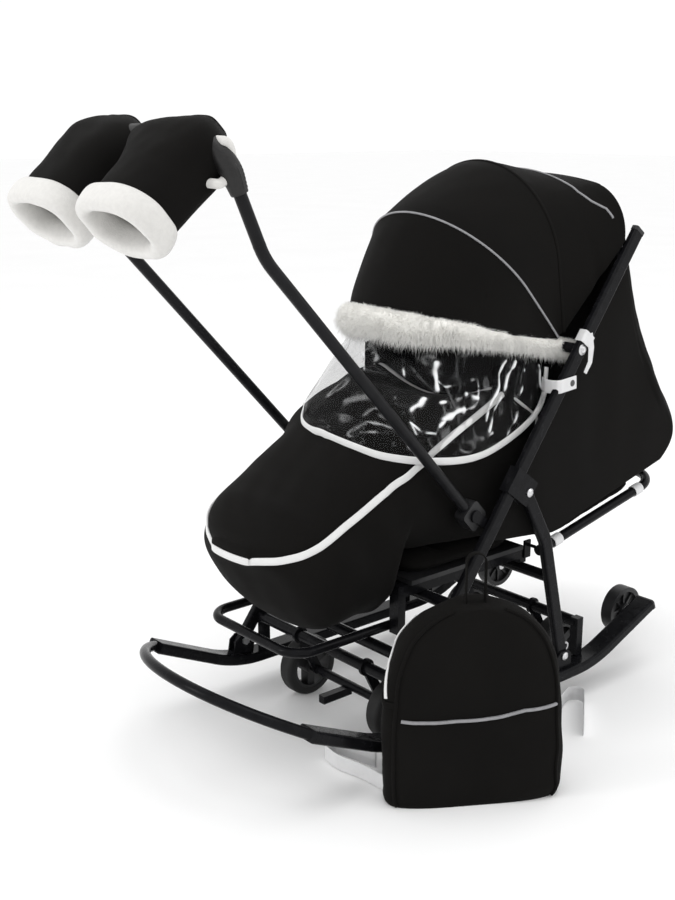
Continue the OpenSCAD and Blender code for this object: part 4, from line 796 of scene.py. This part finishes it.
def window_foot(share):
    """Lower edge of the film: share runs from -1 over the middle at 0 to 1. A bell pulls its far corner
    back."""
    a = np.abs(share)
    slack = bell(share + 0.28, 0.14)
    return np.stack([np.sign(share) * window_x * eased(window_out_shares, a, 0.03),
                     window_front + (window_back - window_front) * eased(window_back_shares, a, 0.03)
                     + corner_back * slack,
                     window_low + window_rise * eased(window_rise_shares, a, 0.03) + corner_up * slack], -1)


def window_skin(down, share):
    """Film between the line under the fur and its lower edge, straight from one to the other and bowed
    outwards."""
    flat = bow_line(bow_half - 0.004, bow_reaches[0] - 0.010, share * cover_base)
    top = on_bow(bow_slopes[0], flat, window_hang)
    straight = top[None] * (1 - down[:, None, None]) + window_foot(share)[None] * down[:, None, None]
    straight[..., 1] -= window_bow * np.sin(np.pi * down)[:, None] * (1 - np.abs(share))[None]
    return straight


# Sharp creases of the film, each with its half-width, the strength of its painted highlight (which also sets
# its depth), and its corners as (down, share)
creases = (
    (0.0020, 1.0, ((0.01, 0.626), (0.14, 0.613), (0.27, 0.631), (0.46, 0.618), (0.63, 0.61))),
    (0.0022, 1.0, ((-0.01, 0.715), (0.27, 0.688), (0.53, 0.648), (0.74, 0.631))),
    (0.0018, 1.0, ((-0.03, 0.8), (0.3, 0.812), (0.63, 0.786), (0.88, 0.76), (0.94, 0.75))),
    (0.0016, 0.7, ((-0.05, 0.92), (0.53, 0.945))),
    (0.0015, 0.5, ((0.2, 0.506), (0.29, 0.528), (0.42, 0.54), (0.52, 0.513))),
    (0.0036, 1.0, ((0.17, 0.321), (0.23, 0.333), (0.35, 0.361))),
    (0.0015, 0.6, ((0.28, 0.356), (0.33, 0.403), (0.3, 0.46), (0.23, 0.508))),
    (0.0032, 1.0, ((0.47, 0.329), (0.54, 0.328), (0.58, 0.301))),
    (0.0018, 1.0, ((0.48, 0.389), (0.43, 0.465))),
    (0.0024, 1.0, ((0.4, 0.481), (0.39, 0.535))),
    (0.0036, 1.0, ((0.63, 0.421), (0.55, 0.455), (0.52, 0.503))),
    (0.0017, 1.0, ((0.68, 0.309), (0.75, 0.351), (0.75, 0.398), (0.65, 0.423))),
    (0.0015, 0.6, ((0.6, 0.276), (0.69, 0.313), (0.78, 0.333))),
    (0.0015, 0.6, ((0.15, 0.184), (0.35, 0.234))),
    (0.0022, 0.5, ((0.09, 0.203), (0.14, 0.251))),
    (0.0022, 0.9, ((0.9, 0.323), (0.96, 0.351))),
    (0.0064, 0.16, ((0.63, 0.064), (0.51, 0.141), (0.56, 0.183))),
    (0.0018, 0.3, ((0.89, 0.129), (0.75, 0.178), (0.76, 0.276), (0.87, 0.171))),
    (0.0018, 0.4, ((0.17, -0.018), (0.32, 0.063))),
    (0.0040, 0.25, ((0.11, -0.008), (0.23, 0.088))),
    (0.0020, 0.25, ((0.3, 0.183), (0.49, 0.231))),
    (0.0022, 1.0, ((0.8, 0.618), (0.78, 0.651))))


def from_line(points, corners):
    """Distance of every grid point to a line of straight parts between its corners."""
    far = np.ones(points.shape[:2])
    for a, b in zip(corners[:-1], corners[1:]):
        part = np.clip((points - a) @ (b - a) / ((b - a) @ (b - a)), 0, 1)
        far = np.minimum(far, np.linalg.norm(points - a - part[..., None] * (b - a), axis=-1))
    return far


film_down = np.linspace(-0.08, 1, 120)
film_share = np.linspace(-1, 1, 400)
smooth = window_skin(film_down, film_share)
# Painted highlights: each crease paints a white streak of its strength, fading with the distance to its line.
painted_streaks = np.zeros(smooth.shape[:2])
sharp = np.zeros(smooth.shape[:2])
wobble = smooth + line_wobble * np.stack([ripple(smooth, 0.05, seed) for seed in (43, 44, 45)], -1)
frayed = 0.75 + 0.55 * ripple(smooth, 0.022, 46)
for half, strength, corners in creases:
    corners = [window_skin(np.array([down]), np.array([share]))[0, 0] for down, share in corners]
    close = 1 / (1 + (from_line(wobble, corners) / (half * np.clip(frayed, 0.25, 1.5))) ** 4)
    painted_streaks = np.maximum(painted_streaks, strength * close)
    sharp = np.maximum(sharp, strength * half * close)
fold = (0.5 - np.abs(ripple(smooth * [1, 1, 1.5], 0.16, 41))) * fold_high
fold += (0.5 - np.abs(ripple(smooth, 0.06, 42))) * fold_fine
pleat = 0.003 * np.sin(film_share * 60 + 3 * np.sin(7 * film_share)) * np.clip(film_share - 0.35, 0, 0.5)
hold = (np.clip((1 - film_down) / 0.1, 0, 1) * np.clip((film_down + 0.08) / 0.1, 0, 1))[:, None]
film = smooth - normals(smooth) * ((fold + pleat + sharp) * hold)[..., None]
# Painted glints: where the crumpled film leans from its smooth shape by fixed amounts across or down, it is
# painted bright, as if it reflected a lamp.
lean = normals(film + normals(smooth) * (sharp * hold)[..., None]) - normals(smooth)
lean_across = (lean * unit(np.gradient(smooth, axis=1))).sum(-1)
lean_down = (lean * unit(np.gradient(smooth, axis=0))).sum(-1)
painted_glint = bell(lean_across - painted_glint_across, 0.035) * np.clip(0.6 + 4 * lean_down, 0, 1)
painted_glint += 0.8 * bell(lean_down - painted_glint_down, 0.03) * np.clip(0.5 - 3 * lean_across, 0, 1)
painted_glint = np.maximum(painted_streaks, 0.2 * np.clip(painted_glint, 0, 1) ** 1.6)
# Colour and alpha follow the painted glints: dark grey and faint where there are none, white and nearly
# opaque along them, a painted highlight.
clear_film = bpy.data.materials.new("clear_film")
clear_film.use_nodes = True
tree = clear_film.node_tree
shader = tree.nodes["Principled BSDF"]
shader.inputs["Roughness"].default_value = 0.2
shader.inputs["Specular IOR Level"].default_value = 0.15
painted_glint_node = add(tree, "Attribute")
painted_glint_node.attribute_name = "painted_glint"
haze_and_glint_alpha = add(tree, "MapRange", To_Min=0.12, To_Max=0.85)
tint_and_painted_glint = add(tree, "ValToRGB")
tint_and_painted_glint.color_ramp.elements[0].color = (0.02, 0.02, 0.021, 1)
tint_and_painted_glint.color_ramp.elements[1].color = (0.95, 0.96, 0.97, 1)
tint_and_painted_glint.color_ramp.elements[1].position = 0.4
join(tree, painted_glint_node, "Fac", tint_and_painted_glint, "Fac")
join(tree, tint_and_painted_glint, "Color", shader, "Base Color")
join(tree, painted_glint_node, "Fac", haze_and_glint_alpha, "Value")
join(tree, haze_and_glint_alpha, "Result", shader, "Alpha")
window = piece("rain_window", film, material=clear_film, thick=film_thick)
stored = window.data.attributes.new("painted_glint", "FLOAT", "POINT")
stored.data.foreach_set("value", painted_glint.astype(np.float32).ravel())
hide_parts("window")
window_edge = evenly(window_foot(np.linspace(-1, 1, 400)), 0.003)
edge_out = unit(np.cross(np.gradient(window_edge, axis=0), [0, 0, 1.0]))
rings = sweep(window_edge, edge_out, tape_wide, window_tape_thick)
film_pieces = [window, trim("window_binding", rings, white_tape, "front_bow")]
for side, hand in hands:
    rear = smooth[:, -1] if side > 0 else smooth[:, 0]
    rings = sweep(rear, [side * 1.0, 0, 0], rear_tape_wide, window_tape_thick)
    film_pieces.append(trim(f"window_rear_binding_{hand}", rings, white_tape, "front_bow"))
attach(window, "front_bow")
for film_piece in film_pieces:
    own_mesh(film_piece)

# Bed curtain: black cloth that hangs from the main tubes and the rear arch down to the backrest frame.
# It closes the sides and the back of the bed and bulges where it is not held.
curtain_x = 0.1954
curtain_hang = 0.022
curtain_lift = 0.034
curtain_along = 0.366
side_share = 0.42
curtain_thick = 0.0014
curtain_from = 0.325
curtain_to = 0.868
curtain_end = 0.014
curtain_round = 0.040
curtain_bulge = 0.055
main_foot = np.array([-0.290475, 0.096007])
main_slope = np.array([0.59763, 0.80178])


def main_at(along, ahead=0.0):
    """Y and Z of a place along the main tubes and ahead of them."""
    return main_foot + main_slope * along + [-main_slope[1] * ahead, main_slope[0] * ahead]


def curtain_top(share):
    """Upper edge: along the main tubes at the sides, and over the rear arch in the middle half."""
    a = np.abs(share)
    low, high = main_at(curtain_from, -curtain_hang), main_at(curtain_to, -curtain_hang)
    side = np.clip(2 * a - 1, 0, 1)[:, None]
    arch = arch_line(-0.012, np.clip(2 * a, 0, 1))
    flank = np.concatenate([np.full((len(a), 1), curtain_x), high * (1 - side) + low * side], 1)
    lift = np.clip(2 * a, 0, 1) ** 4
    over = np.stack([np.minimum(curtain_x, arch[:, 0] + 0.012), np.full(len(a), high[0]),
                     arch[:, 2] * (1 - lift) + high[1] * lift], 1)
    made = np.where((a > 0.5)[:, None], flank, over)
    made[:, 0] *= np.sign(share)
    return made


def curtain_foot(share):
    """Lower edge: along the backrest's sides and round its rear end."""
    a = np.abs(share)
    rear = bed_hinge[1:] + [curtain_along * np.cos(bed_lean), curtain_along * np.sin(bed_lean) + curtain_lift]
    k = np.clip((a - side_share) / (1 - side_share), 0, 1)
    turn = np.minimum(1, a / side_share)
    flank = np.stack([np.full(len(a), curtain_x),
                      (rear[0] - curtain_round) * (1 - k) + (bed_hinge[1] + curtain_end) * k,
                      rear[1] * (1 - k) + (bed_hinge[2] + curtain_lift) * k], 1)
    back = np.stack([curtain_x * turn ** side_share, rear[0] - curtain_round * turn ** 3,
                     np.full(len(a), rear[1])], 1)
    made = np.where((a > side_share)[:, None], flank, back)
    made[:, 0] *= np.sign(share)
    return made


hang_down = np.linspace(0, 1, 90)
hang_share = np.linspace(-1, 1, 260)
hang = (curtain_top(hang_share)[None] * (1 - hang_down[:, None, None])
        + curtain_foot(hang_share)[None] * hang_down[:, None, None])
rearward = np.clip((0.75 - np.abs(hang_share)) / 0.30, 0, 1)[None]
hang[..., 1] += curtain_bulge * np.sin(np.pi * hang_down ** 4)[:, None] * rearward
hold = np.sin(np.pi * hang_down)[:, None]
soft_fold = wrinkles(hang, [1.5, 1.5, 0.4], (0.0035, 0.14, 51), (0.001, 0.06, 52))
calm = np.where(np.abs(hang_share) > 0.45, 0.3, 1)[None, :, None]
hang = hang + normals(hang) * (soft_fold * hold)[..., None] * calm
curtain = piece("bed_curtain_cloth", hang, material=black_cloth, thick=curtain_thick)
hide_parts("bed_curtain")
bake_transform(curtain)

# Seat sides: black cloth inside the main tubes, between the footmuff's mouth and the bed curtain.
# Each is a single panel, sewn to the footmuff's edge.
# The panels' cloth is a darker copy of the black polyester: painted shade for the hollow between the footmuff
# and the bed.
seat_side_shade_cloth = cloth("black_side_painted_shade", (0.003, 0.003, 0.003), sheen=0.0, gloss=0.04)
panel_x = 0.157
panel_bow = 0.004
panel_wave = 0.0015
side_front = np.array([[-0.045, 0.42], [-0.036, 0.628]])
side_rear = np.array([[0.085, 0.365], [0.122, 0.650]])
for side, hand in hands:
    down, back = np.meshgrid(np.linspace(0, 1, 40), np.linspace(0, 1, 30), indexing="ij")
    down, back = down[..., None], back[..., None]
    wall = ((side_front[0] * (1 - down) + side_front[1] * down) * (1 - back)
            + (side_rear[0] * (1 - down) + side_rear[1] * down) * back)
    bowed = panel_x + panel_bow * np.sin(np.pi * down) * np.sin(np.pi * back)
    wall = np.concatenate([side * bowed, wall], -1)
    wall[..., 0] += panel_wave * ripple(wall, 0.08, 56)
    panel = piece(f"seat_side_{hand}", wall, inward=side > 0, material=seat_side_shade_cloth, thick=curtain_thick)
    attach(panel, "chassis")

# Webbing: white straps round the main tubes at the hood's corners and round the backrest tube,
# each closed on itself with a flat overlapping end.
webbing = cloth("white_webbing", (0.72, 0.72, 0.725), rough=(0.6, 0.75), spread=0.04, patch=60, thread=0.0016,
                depth=0.8, sheen=0.0, gloss=0.2)
main_way = np.array([0, main_slope[0], main_slope[1]])
main_across = np.array([0, -main_slope[1], main_slope[0]])
sideways = np.array([1.0, 0, 0])
strap_wide = 0.022
strap_thick = 0.0018
thin_strap = 0.0016
tail_wide = 0.018
tail_tip = 0.008
tab_wide = 0.023
snap_place = np.array([0.2194, 0.0935, 0.5935])
bolt_x = 0.2165
strap_after_eye = 0.687 + 0.009 + 0.0003 + 0.011
tail_places = np.array([[0.2180, 0.1335, 0.672], [0.2190, 0.1395, 0.648], [0.2192, 0.138, 0.624],
                        [0.2184, 0.127, 0.606]])
tab_places = np.array([[0.172, 0.071, 0.589], [0.188, 0.0615, 0.588], [0.204, 0.0595, 0.589],
                       [0.2145, 0.0605, 0.590], [0.2188, 0.0660, 0.591], [0.2188, 0.104, 0.594]])
main_x = 0.210
main_half_x = 0.0070
main_half_y = 0.0130
bed_x = 0.181
bed_tube = 0.00905
bed_strap_places = (0.028, 0.262)


def band_round(middle, first, second, half_first, half_second, way, wide, thick, power):
    """Closed band: a super-ellipse in the plane of two directions, swept as a flat webbing whose width lies
    along the tube it goes round."""
    turn = full_turn(72)
    a, b = oval(half_first + thick / 2, half_second + thick / 2, power, turn)
    line = middle + a[:, None] * first + b[:, None] * second
    out = line - middle
    out = unit(out - (out @ way)[:, None] * way)
    return sweep(line, out, wide, thick, sides=12, power=0.35, closed=True)


dull_metal = finish("dull_snap_metal", (0.09, 0.09, 0.09), rough=(0.35, 0.5), spread=0.2, patch=200,
                    Metallic=0.7)
snap_profile = np.array([[0, 0.0016], [0.002, 0.0016], [0.0028, 0.0010], [0.0036, 0.0012], [0.0052, 0.0009],
                         [0.0058, 0]])
bolt_profile = np.array([[0, 0.0022], [0.0022, 0.0022], [0.0028, 0.0034], [0.0046, 0.0030], [0.0060, 0.0016],
                         [0.0064, 0], [0.0098, 0.0001]])


def button(name, middle, side, profile, metal, body):
    """Round head on an upright face: a profile of radius and height turned about X, outwards on its
    side."""
    turn = full_turn(32)
    radius, height = profile[:, :1], profile[:, 1:]
    points = np.stack([side * (height + 0 * turn), radius * np.cos(turn), radius * np.sin(turn)], -1) + middle
    made = piece(name, points, ring=True, inward=side > 0, material=metal, thick=0.0006)
    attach(made, body)


for side, hand in hands:
    strap_at = np.array([side * main_x, *main_at(strap_after_eye)])
    rings = band_round(strap_at, sideways, main_across, main_half_x, main_half_y, main_way, strap_wide,
                       strap_thick, 0.3)
    band = trim(f"hood_strap_{hand}", rings, webbing, "chassis", caps=False)
    if side > 0:
        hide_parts("hood_straps")
    tail = evenly(tail_places * [side, 1, 1], 0.002)
    narrowing = np.linspace(tail_wide, tail_tip, len(tail))
    rings = sweep(tail, [side * 1.0, 0, 0], narrowing, thin_strap, power=0.35)
    trim(f"hood_strap_tail_{hand}", rings, webbing, "chassis")
    tab = evenly(tab_places * [side, 1, 1], 0.002)
    step = np.gradient(tab, axis=0)
    tab_out = unit(side * np.stack([step[:, 1], -step[:, 0], 0 * step[:, 2]], 1))
    rings = sweep(tab, tab_out, tab_wide, thin_strap, power=0.3)
    trim(f"window_tab_{hand}", rings, webbing, "chassis")
    button(f"tab_snap_{hand}", snap_place * [side, 1, 1], side, snap_profile, dull_metal, "chassis")
    button(f"hood_bolt_{hand}", hood_pivot + [side * bolt_x, 0, 0], side, bolt_profile, zinc, "chassis")
    for number, along in enumerate(bed_strap_places):
        bed_way = np.array([0, np.cos(bed_lean), np.sin(bed_lean)])
        bed_up = np.array([0, -np.sin(bed_lean), np.cos(bed_lean)])
        strap_at = bed_hinge + [side * bed_x, 0, 0] + (along + strap_wide / 2) * bed_way
        rings = band_round(strap_at, sideways, bed_up, bed_tube, bed_tube, bed_way, strap_wide,
                           thin_strap, 1.0)
        band = trim(f"bed_strap_{hand}_{number}", rings, webbing, "backrest", caps=False)
        if side > 0 and number == 0:
            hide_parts("bed_straps")

# Handle grip: a stitched sleeve of black leatherette round the upper part of the handle.
# It is fuller under the hand and closed by two rows of thread on its outer side.
leather = finish("black_leatherette", (0.011, 0.0105, 0.0105), rough=(0.38, 0.55), spread=0.3, patch=160,
                 grain=0.6, grain_scale=420, Specular_IOR_Level=0.35)
thread = finish("black_thread", (0.03, 0.03, 0.03), rough=(0.5, 0.7), spread=0.2, patch=300)
bar_place = np.array([-0.5993, 1.0053])
arm_way = np.array([-0.405, 0.9145])
arm_x = 0.188
arm_corner = 0.060
grip_step = 0.0025
grip_thin = 0.0113
grip_swell = 0.0043
stitch_step = 0.0005
stitch_pitch = 0.0055
arm_straight = np.linspace(-0.083, -arm_corner, 26)
arm_bend = np.linspace(0, np.pi / 2, 30)
arm_off = np.concatenate([arm_straight, -arm_corner + arm_corner * np.sin(arm_bend[1:]), np.zeros(40)])
arm_across = np.concatenate([np.full(26, arm_x), arm_x - arm_corner + arm_corner * np.cos(arm_bend[1:]),
                             np.linspace(arm_x - arm_corner, 0, 41)[1:]])
grip_half = np.stack([arm_across, bar_place[0] + arm_way[0] * arm_off,
                      bar_place[1] + arm_way[1] * arm_off], 1)
grip_line = evenly(np.concatenate([grip_half, grip_half[-2::-1] * [-1, 1, 1]]), grip_step)
grip_far = np.minimum(np.arange(len(grip_line)), np.arange(len(grip_line))[::-1]) * grip_step
grip_radius = grip_thin + grip_swell * bell(grip_far - 0.034, 0.028)
grip_out = [0, arm_way[1], -arm_way[0]]
rings = sweep(grip_line, grip_out, 2 * grip_radius, 2 * grip_radius, sides=28, power=1.0)
grip = trim("grip_sleeve", rings, leather, "handle")
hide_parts("handle_grip")
arm_points = int(0.06 / grip_step)
for side, hand in hands:
    arm = grip_line[2:arm_points] * [side, 1, 1]
    for number, place in enumerate(np.radians([8, 40])):
        away = np.array([side * np.cos(place), np.sin(place) * arm_way[1], -np.sin(place) * arm_way[0]])
        row = evenly(arm + away * (grip_radius[2:arm_points, None] + 0.0002), stitch_step)
        phase = np.arange(len(row)) * stitch_step * 2 * np.pi / stitch_pitch
        beat = 0.0005 + 0.0009 * (np.sin(phase) > -0.3)
        rings = sweep(row, away, beat, beat, sides=6, power=1.0)
        trim(f"grip_stitch_{hand}_{number}", rings, thread, "handle")

# Hand muffs: padded sleeves of black polyester that hang on the handle's crossbar, open at the cuff.
# The cuffs are thick rolls of white fleece; the slot where the handle leaves has a fleece rim too.
fleece = finish("white_fleece", (0.66, 0.65, 0.628), rough=(0.85, 0.95), spread=0.04, patch=140, grain=0.9,
                grain_scale=500, Sheen_Weight=0.3, Sheen_Roughness=0.5)
mitt_slope = np.radians(43)
mitt_x = 0.099
mitt_half_w = 0.075
mitt_half_d = 0.049
mitt_long = 0.184
mitt_over = 0.033
mitt_drop = 0.0236
mitt_power = 0.8
cuff_wide = 0.042
cuff_thick = 0.025
cuff_back = 0.014
rim_tall = 0.0275
rim_flat = 0.0175
rim_tuck = 0.034
mitt_thick = 0.002
mitt_cap = 0.010
rim_place = np.array([0.186, -0.594, 0.969])
rim_up = np.array([0, 0.264, 0.9645])
rim_ahead = np.array([0, 0.9645, -0.264])


def mitt_skin(side, share, turn, inset=0.0):
    """Sleeve of super-ellipses along its own slope; the rings shrink towards the end over the bar by a
    parabola and swell at both sides, where they cover the bar and the handle's corner."""
    draw = np.clip(1 - share / 0.45, 0, 1) ** 2
    wide = mitt_half_w * np.sqrt(1 - 0.75 * draw) - inset
    deep = mitt_half_d * np.sqrt(1 - 0.80 * draw) * (1 + 0.08 * bell(share - 0.15, 0.12)) - inset
    power = mitt_power - 0.3 * np.clip(1 - (share - 0.1) / 0.45, 0, 1)
    across, up = oval(wide[:, None], deep[:, None], power[:, None], turn[None])
    swell = np.where(side * across > 0, 0.27, 0.85) * np.clip(np.abs(across) / mitt_half_w, 0, 1)
    across = across * (1 + swell * bell(share - 0.15, 0.2)[:, None])
    up = up - mitt_drop
    along = (share * mitt_long - mitt_over)[:, None]
    return np.stack([side * mitt_x + across,
                     bar_place[0] - along * np.cos(mitt_slope) - up * np.sin(mitt_slope),
                     bar_place[1] - along * np.sin(mitt_slope) + up * np.cos(mitt_slope)], -1)


mitt_turn = full_turn(160)
mitt_axis = np.array([0, -np.cos(mitt_slope), -np.sin(mitt_slope)])
for side, hand in hands:
    share = np.linspace(0.0, 1, 80)
    shell = mitt_skin(side, share, mitt_turn)
    soft = wrinkles(shell, [1, 1, 1], (0.0018, 0.11, 60 + side), (0.0005, 0.04, 64 + side))
    shell = shell + normals(shell, True) * soft[..., None] * np.clip((1 - share) / 0.1, 0, 1)[:, None, None]
    cap = rounded_end(shell[:1], 0.03, 10, -mitt_axis * mitt_cap)
    sleeve = piece(f"hand_muff_{hand}", np.concatenate([cap, shell]), ring=True, material=black_cloth,
                   thick=mitt_thick)
    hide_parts(f"mitten_{hand}")
    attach(sleeve, "handle")
    lining = mitt_skin(side, np.linspace(1, 0.2, 40), mitt_turn, muff_wall)
    pleats = 0.003 * np.sin(mitt_turn * 11 + np.sin(mitt_turn * 4))
    lining = lining + normals(lining, True) * (pleats[None] * np.linspace(0, 1, 40)[:, None])[..., None]
    inside = piece(f"hand_muff_lining_{hand}", lining, ring=True, material=fleece, thick=mitt_thick)
    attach(inside, "handle")
    mouth_at = mitt_skin(side, np.array([1.0]), mitt_turn, 0.005)[0]
    outward = unit(mouth_at - mouth_at.mean(0))
    cuff_grid = sweep(mouth_at - mitt_axis * cuff_back, outward, cuff_wide, cuff_thick, sides=32, power=0.85,
                      closed=True)
    swell = 0.0012 * ripple(cuff_grid, 0.05, 70 + side)
    cuff = piece(f"fleece_cuff_{hand}", cuff_grid + swell[..., None] * normals(cuff_grid, True), ring=True,
                 material=fleece)
    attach(cuff, "handle")
    rim_turn = full_turn(60)
    rim_line = (rim_place * [side, 1, 1] + rim_tall * np.sin(rim_turn)[:, None] * rim_up
                + rim_flat * np.cos(rim_turn)[:, None] * rim_ahead
                - np.outer(np.clip(-np.cos(rim_turn), 0, 1) ** 0.3, [side * rim_tuck, 0, 0]))
    rings = sweep(rim_line, [side * 1.0, 0, 0], 0.013, 0.012, sides=16, power=1.0, closed=True)
    trim(f"fleece_rim_{hand}", rings, fleece, "handle", caps=False)

# Bag: a soft backpack of the same cloth that stands beside the near runner.
# It has piped seams, a pocket with a grey cord on its front, a white zip, a loop and webbing straps.
bag_place = np.array([0.326, -0.244, 0.0])
bag_turn = np.radians(58)
bag_half_w = 0.144
bag_half_d = 0.040
bag_high = 0.321
bag_strap_thick = 0.0022
bag_strap_wide = 0.027
bag_strap_middle = 0.0145
bag_strap_bend = 0.016


def on_bag(points):
    """Turns points of the bag's own frame, with +Y towards the sled, about the vertical and moves them
    there."""
    x, y = points[..., 0], points[..., 1]
    return np.stack([bag_place[0] + x * np.cos(bag_turn) - y * np.sin(bag_turn),
                     bag_place[1] + x * np.sin(bag_turn) + y * np.cos(bag_turn), points[..., 2]], -1)


def bag_skin(share, turn, lift=0.0):
    """Rings of super-ellipses up the bag: its sides close in an arch at the top and its depth shrinks
    upwards. Soft waves move the cloth in and out, and lift stands off it."""
    share, turn = np.broadcast_arrays(share, turn)
    arch = np.sqrt(np.maximum(0, 1 - (np.maximum(0, share - 0.525) / 0.48) ** 2.45))
    wide = bag_half_w * (1 - 0.04 * np.minimum(1, share / 0.525)) * arch
    deep = bag_half_d * (1 - 0.15 * share ** 1.5)
    across, ahead = oval(wide, deep, 0.6, turn)
    foot = 1 - 0.07 * np.exp(-share / 0.025)
    points = np.stack([across * foot, ahead * foot, share * bag_high], -1)
    upward = 0.8 * np.clip(share - 0.6, 0, 1) + 0 * turn
    out = unit(np.stack([np.cos(turn) * 0.6, np.sin(turn), upward], -1))
    sag = wrinkles(points, [1, 1, 0.6], (0.005, 0.14, 81), (0.001, 0.05, 82))
    sag = sag * np.clip(share / 0.06, 0, 1) * np.clip((1 - share) / 0.06, 0, 1)
    return on_bag(points + out * (sag + lift)[..., None])


def along_bag(name, shares, turns, width, height, material, lift=0.0012):
    """Cord, tape or seam that follows a line of shares and turns over the bag's cloth."""
    at = np.linspace(0, 1, 160)
    given = np.linspace(0, 1, len(shares))
    s, t = np.interp(at, given, shares), np.radians(np.interp(at, given, turns))
    line = bag_skin(s, t, lift)
    out = unit(line - bag_skin(s, t, lift - 0.004))
    return trim(name, sweep(line, out, width, height), material, "bag")


bag_share = np.concatenate([np.linspace(0, 0.9, 110), 1 - 0.1 * (np.linspace(1, 0, 30)[1:]) ** 2])
bag_turns = full_turn(240)
bag = piece("bag_shell", bag_skin(bag_share[:, None], bag_turns[None]), ring=True, caps=True,
            material=black_cloth)
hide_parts("bag_body")
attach(bag, "bag")
for number, turn in enumerate((215, 325)):
    along_bag(f"bag_front_seam_{number}", [0.01, 0.3, 0.6, 0.8, 0.92, 0.985], [turn] * 6, 0.005, 0.005,
              black_cloth, 0.0015)
along_bag("bag_zip", [0.92, 0.823, 0.696, 0.565], [162, 165, 181, 196], 0.007, 0.003, white_tape)
along_bag("bag_pocket_cord", [0.468, 0.452, 0.448, 0.485, 0.498], [223, 252, 270, 290, 324], 0.005, 0.005,
          grey_cord)
along_bag("bag_side_hem", [0.54, 0.535, 0.54], [150, 182, 214], 0.010, 0.003, black_cloth)


def floor_strap(start, angle, first, turn_side, last):
    """Webbing on edge along the floor: straight with a slow wave, a half round, and straight back."""
    angle = np.radians(angle)
    way = np.array([np.cos(angle), np.sin(angle)])
    aside = turn_side * np.array([-way[1], way[0]])
    run = np.linspace(0, first, 60)
    wave = 0.006 * np.sin(2 * np.pi * run / first) * run / first
    out = start + run[:, None] * way + wave[:, None] * aside
    bend = np.linspace(0, np.radians(170), 40)[1:, None]
    round_end = start + first * way + bag_strap_bend * (np.sin(bend) * way + (1 - np.cos(bend)) * aside)
    back_way = np.cos(bend[-1]) * way + np.sin(bend[-1]) * aside
    back = round_end[-1] + np.linspace(0, last, 40)[1:, None] * back_way
    flat = np.concatenate([out, round_end, back])
    return np.stack([flat[:, 0], flat[:, 1], np.full(len(flat), bag_strap_middle)], 1)


strap_places = (((-0.9 * bag_half_w, 0.5 * bag_half_d), 126, 0.130, -1, 0.070),
                ((0.75 * bag_half_w, 0.76 * bag_half_d), 60, 0.285, -1, 0.120))
for number, (start, angle, first, turn_side, last) in enumerate(strap_places):
    line = on_bag(evenly(floor_strap(np.array(start), angle, first, turn_side, last), 0.003))
    rings = sweep(line, [0.0, 0, 1], bag_strap_thick, bag_strap_wide, sides=12, power=0.35)
    strap = trim(f"bag_strap_{number}", rings, webbing, "bag")
    if number == 0:
        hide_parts("bag_straps")
loop_half = 0.015
loop_up = 0.066
loop_foot = 0.318
loop_count = 30
loop_turn = np.linspace(0, np.pi, loop_count)[1:-1]
loop_leg = np.linspace(0, loop_up, loop_count)
loop_across = np.concatenate([np.full(loop_count, loop_half), loop_half * np.cos(loop_turn),
                              np.full(loop_count, -loop_half)])
loop_rise = np.concatenate([loop_leg, loop_up + loop_half * np.sin(loop_turn), loop_leg[::-1]])
loop_line = np.stack([loop_across, np.zeros(len(loop_across)), loop_foot + loop_rise], 1)
loop_line = on_bag(evenly(loop_line, 0.002))
loop_side = on_bag(np.array([[0.0, 1, 0]])) - on_bag(np.array([[0.0, 0, 0]]))
loop_up_way = np.cross(np.gradient(loop_line, axis=0), loop_side)
rings = sweep(loop_line, loop_up_way, 0.012, 0.002, sides=12, power=0.35)
loop = trim("bag_carry_loop", rings, black_cloth, "bag")
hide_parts("bag_loop")
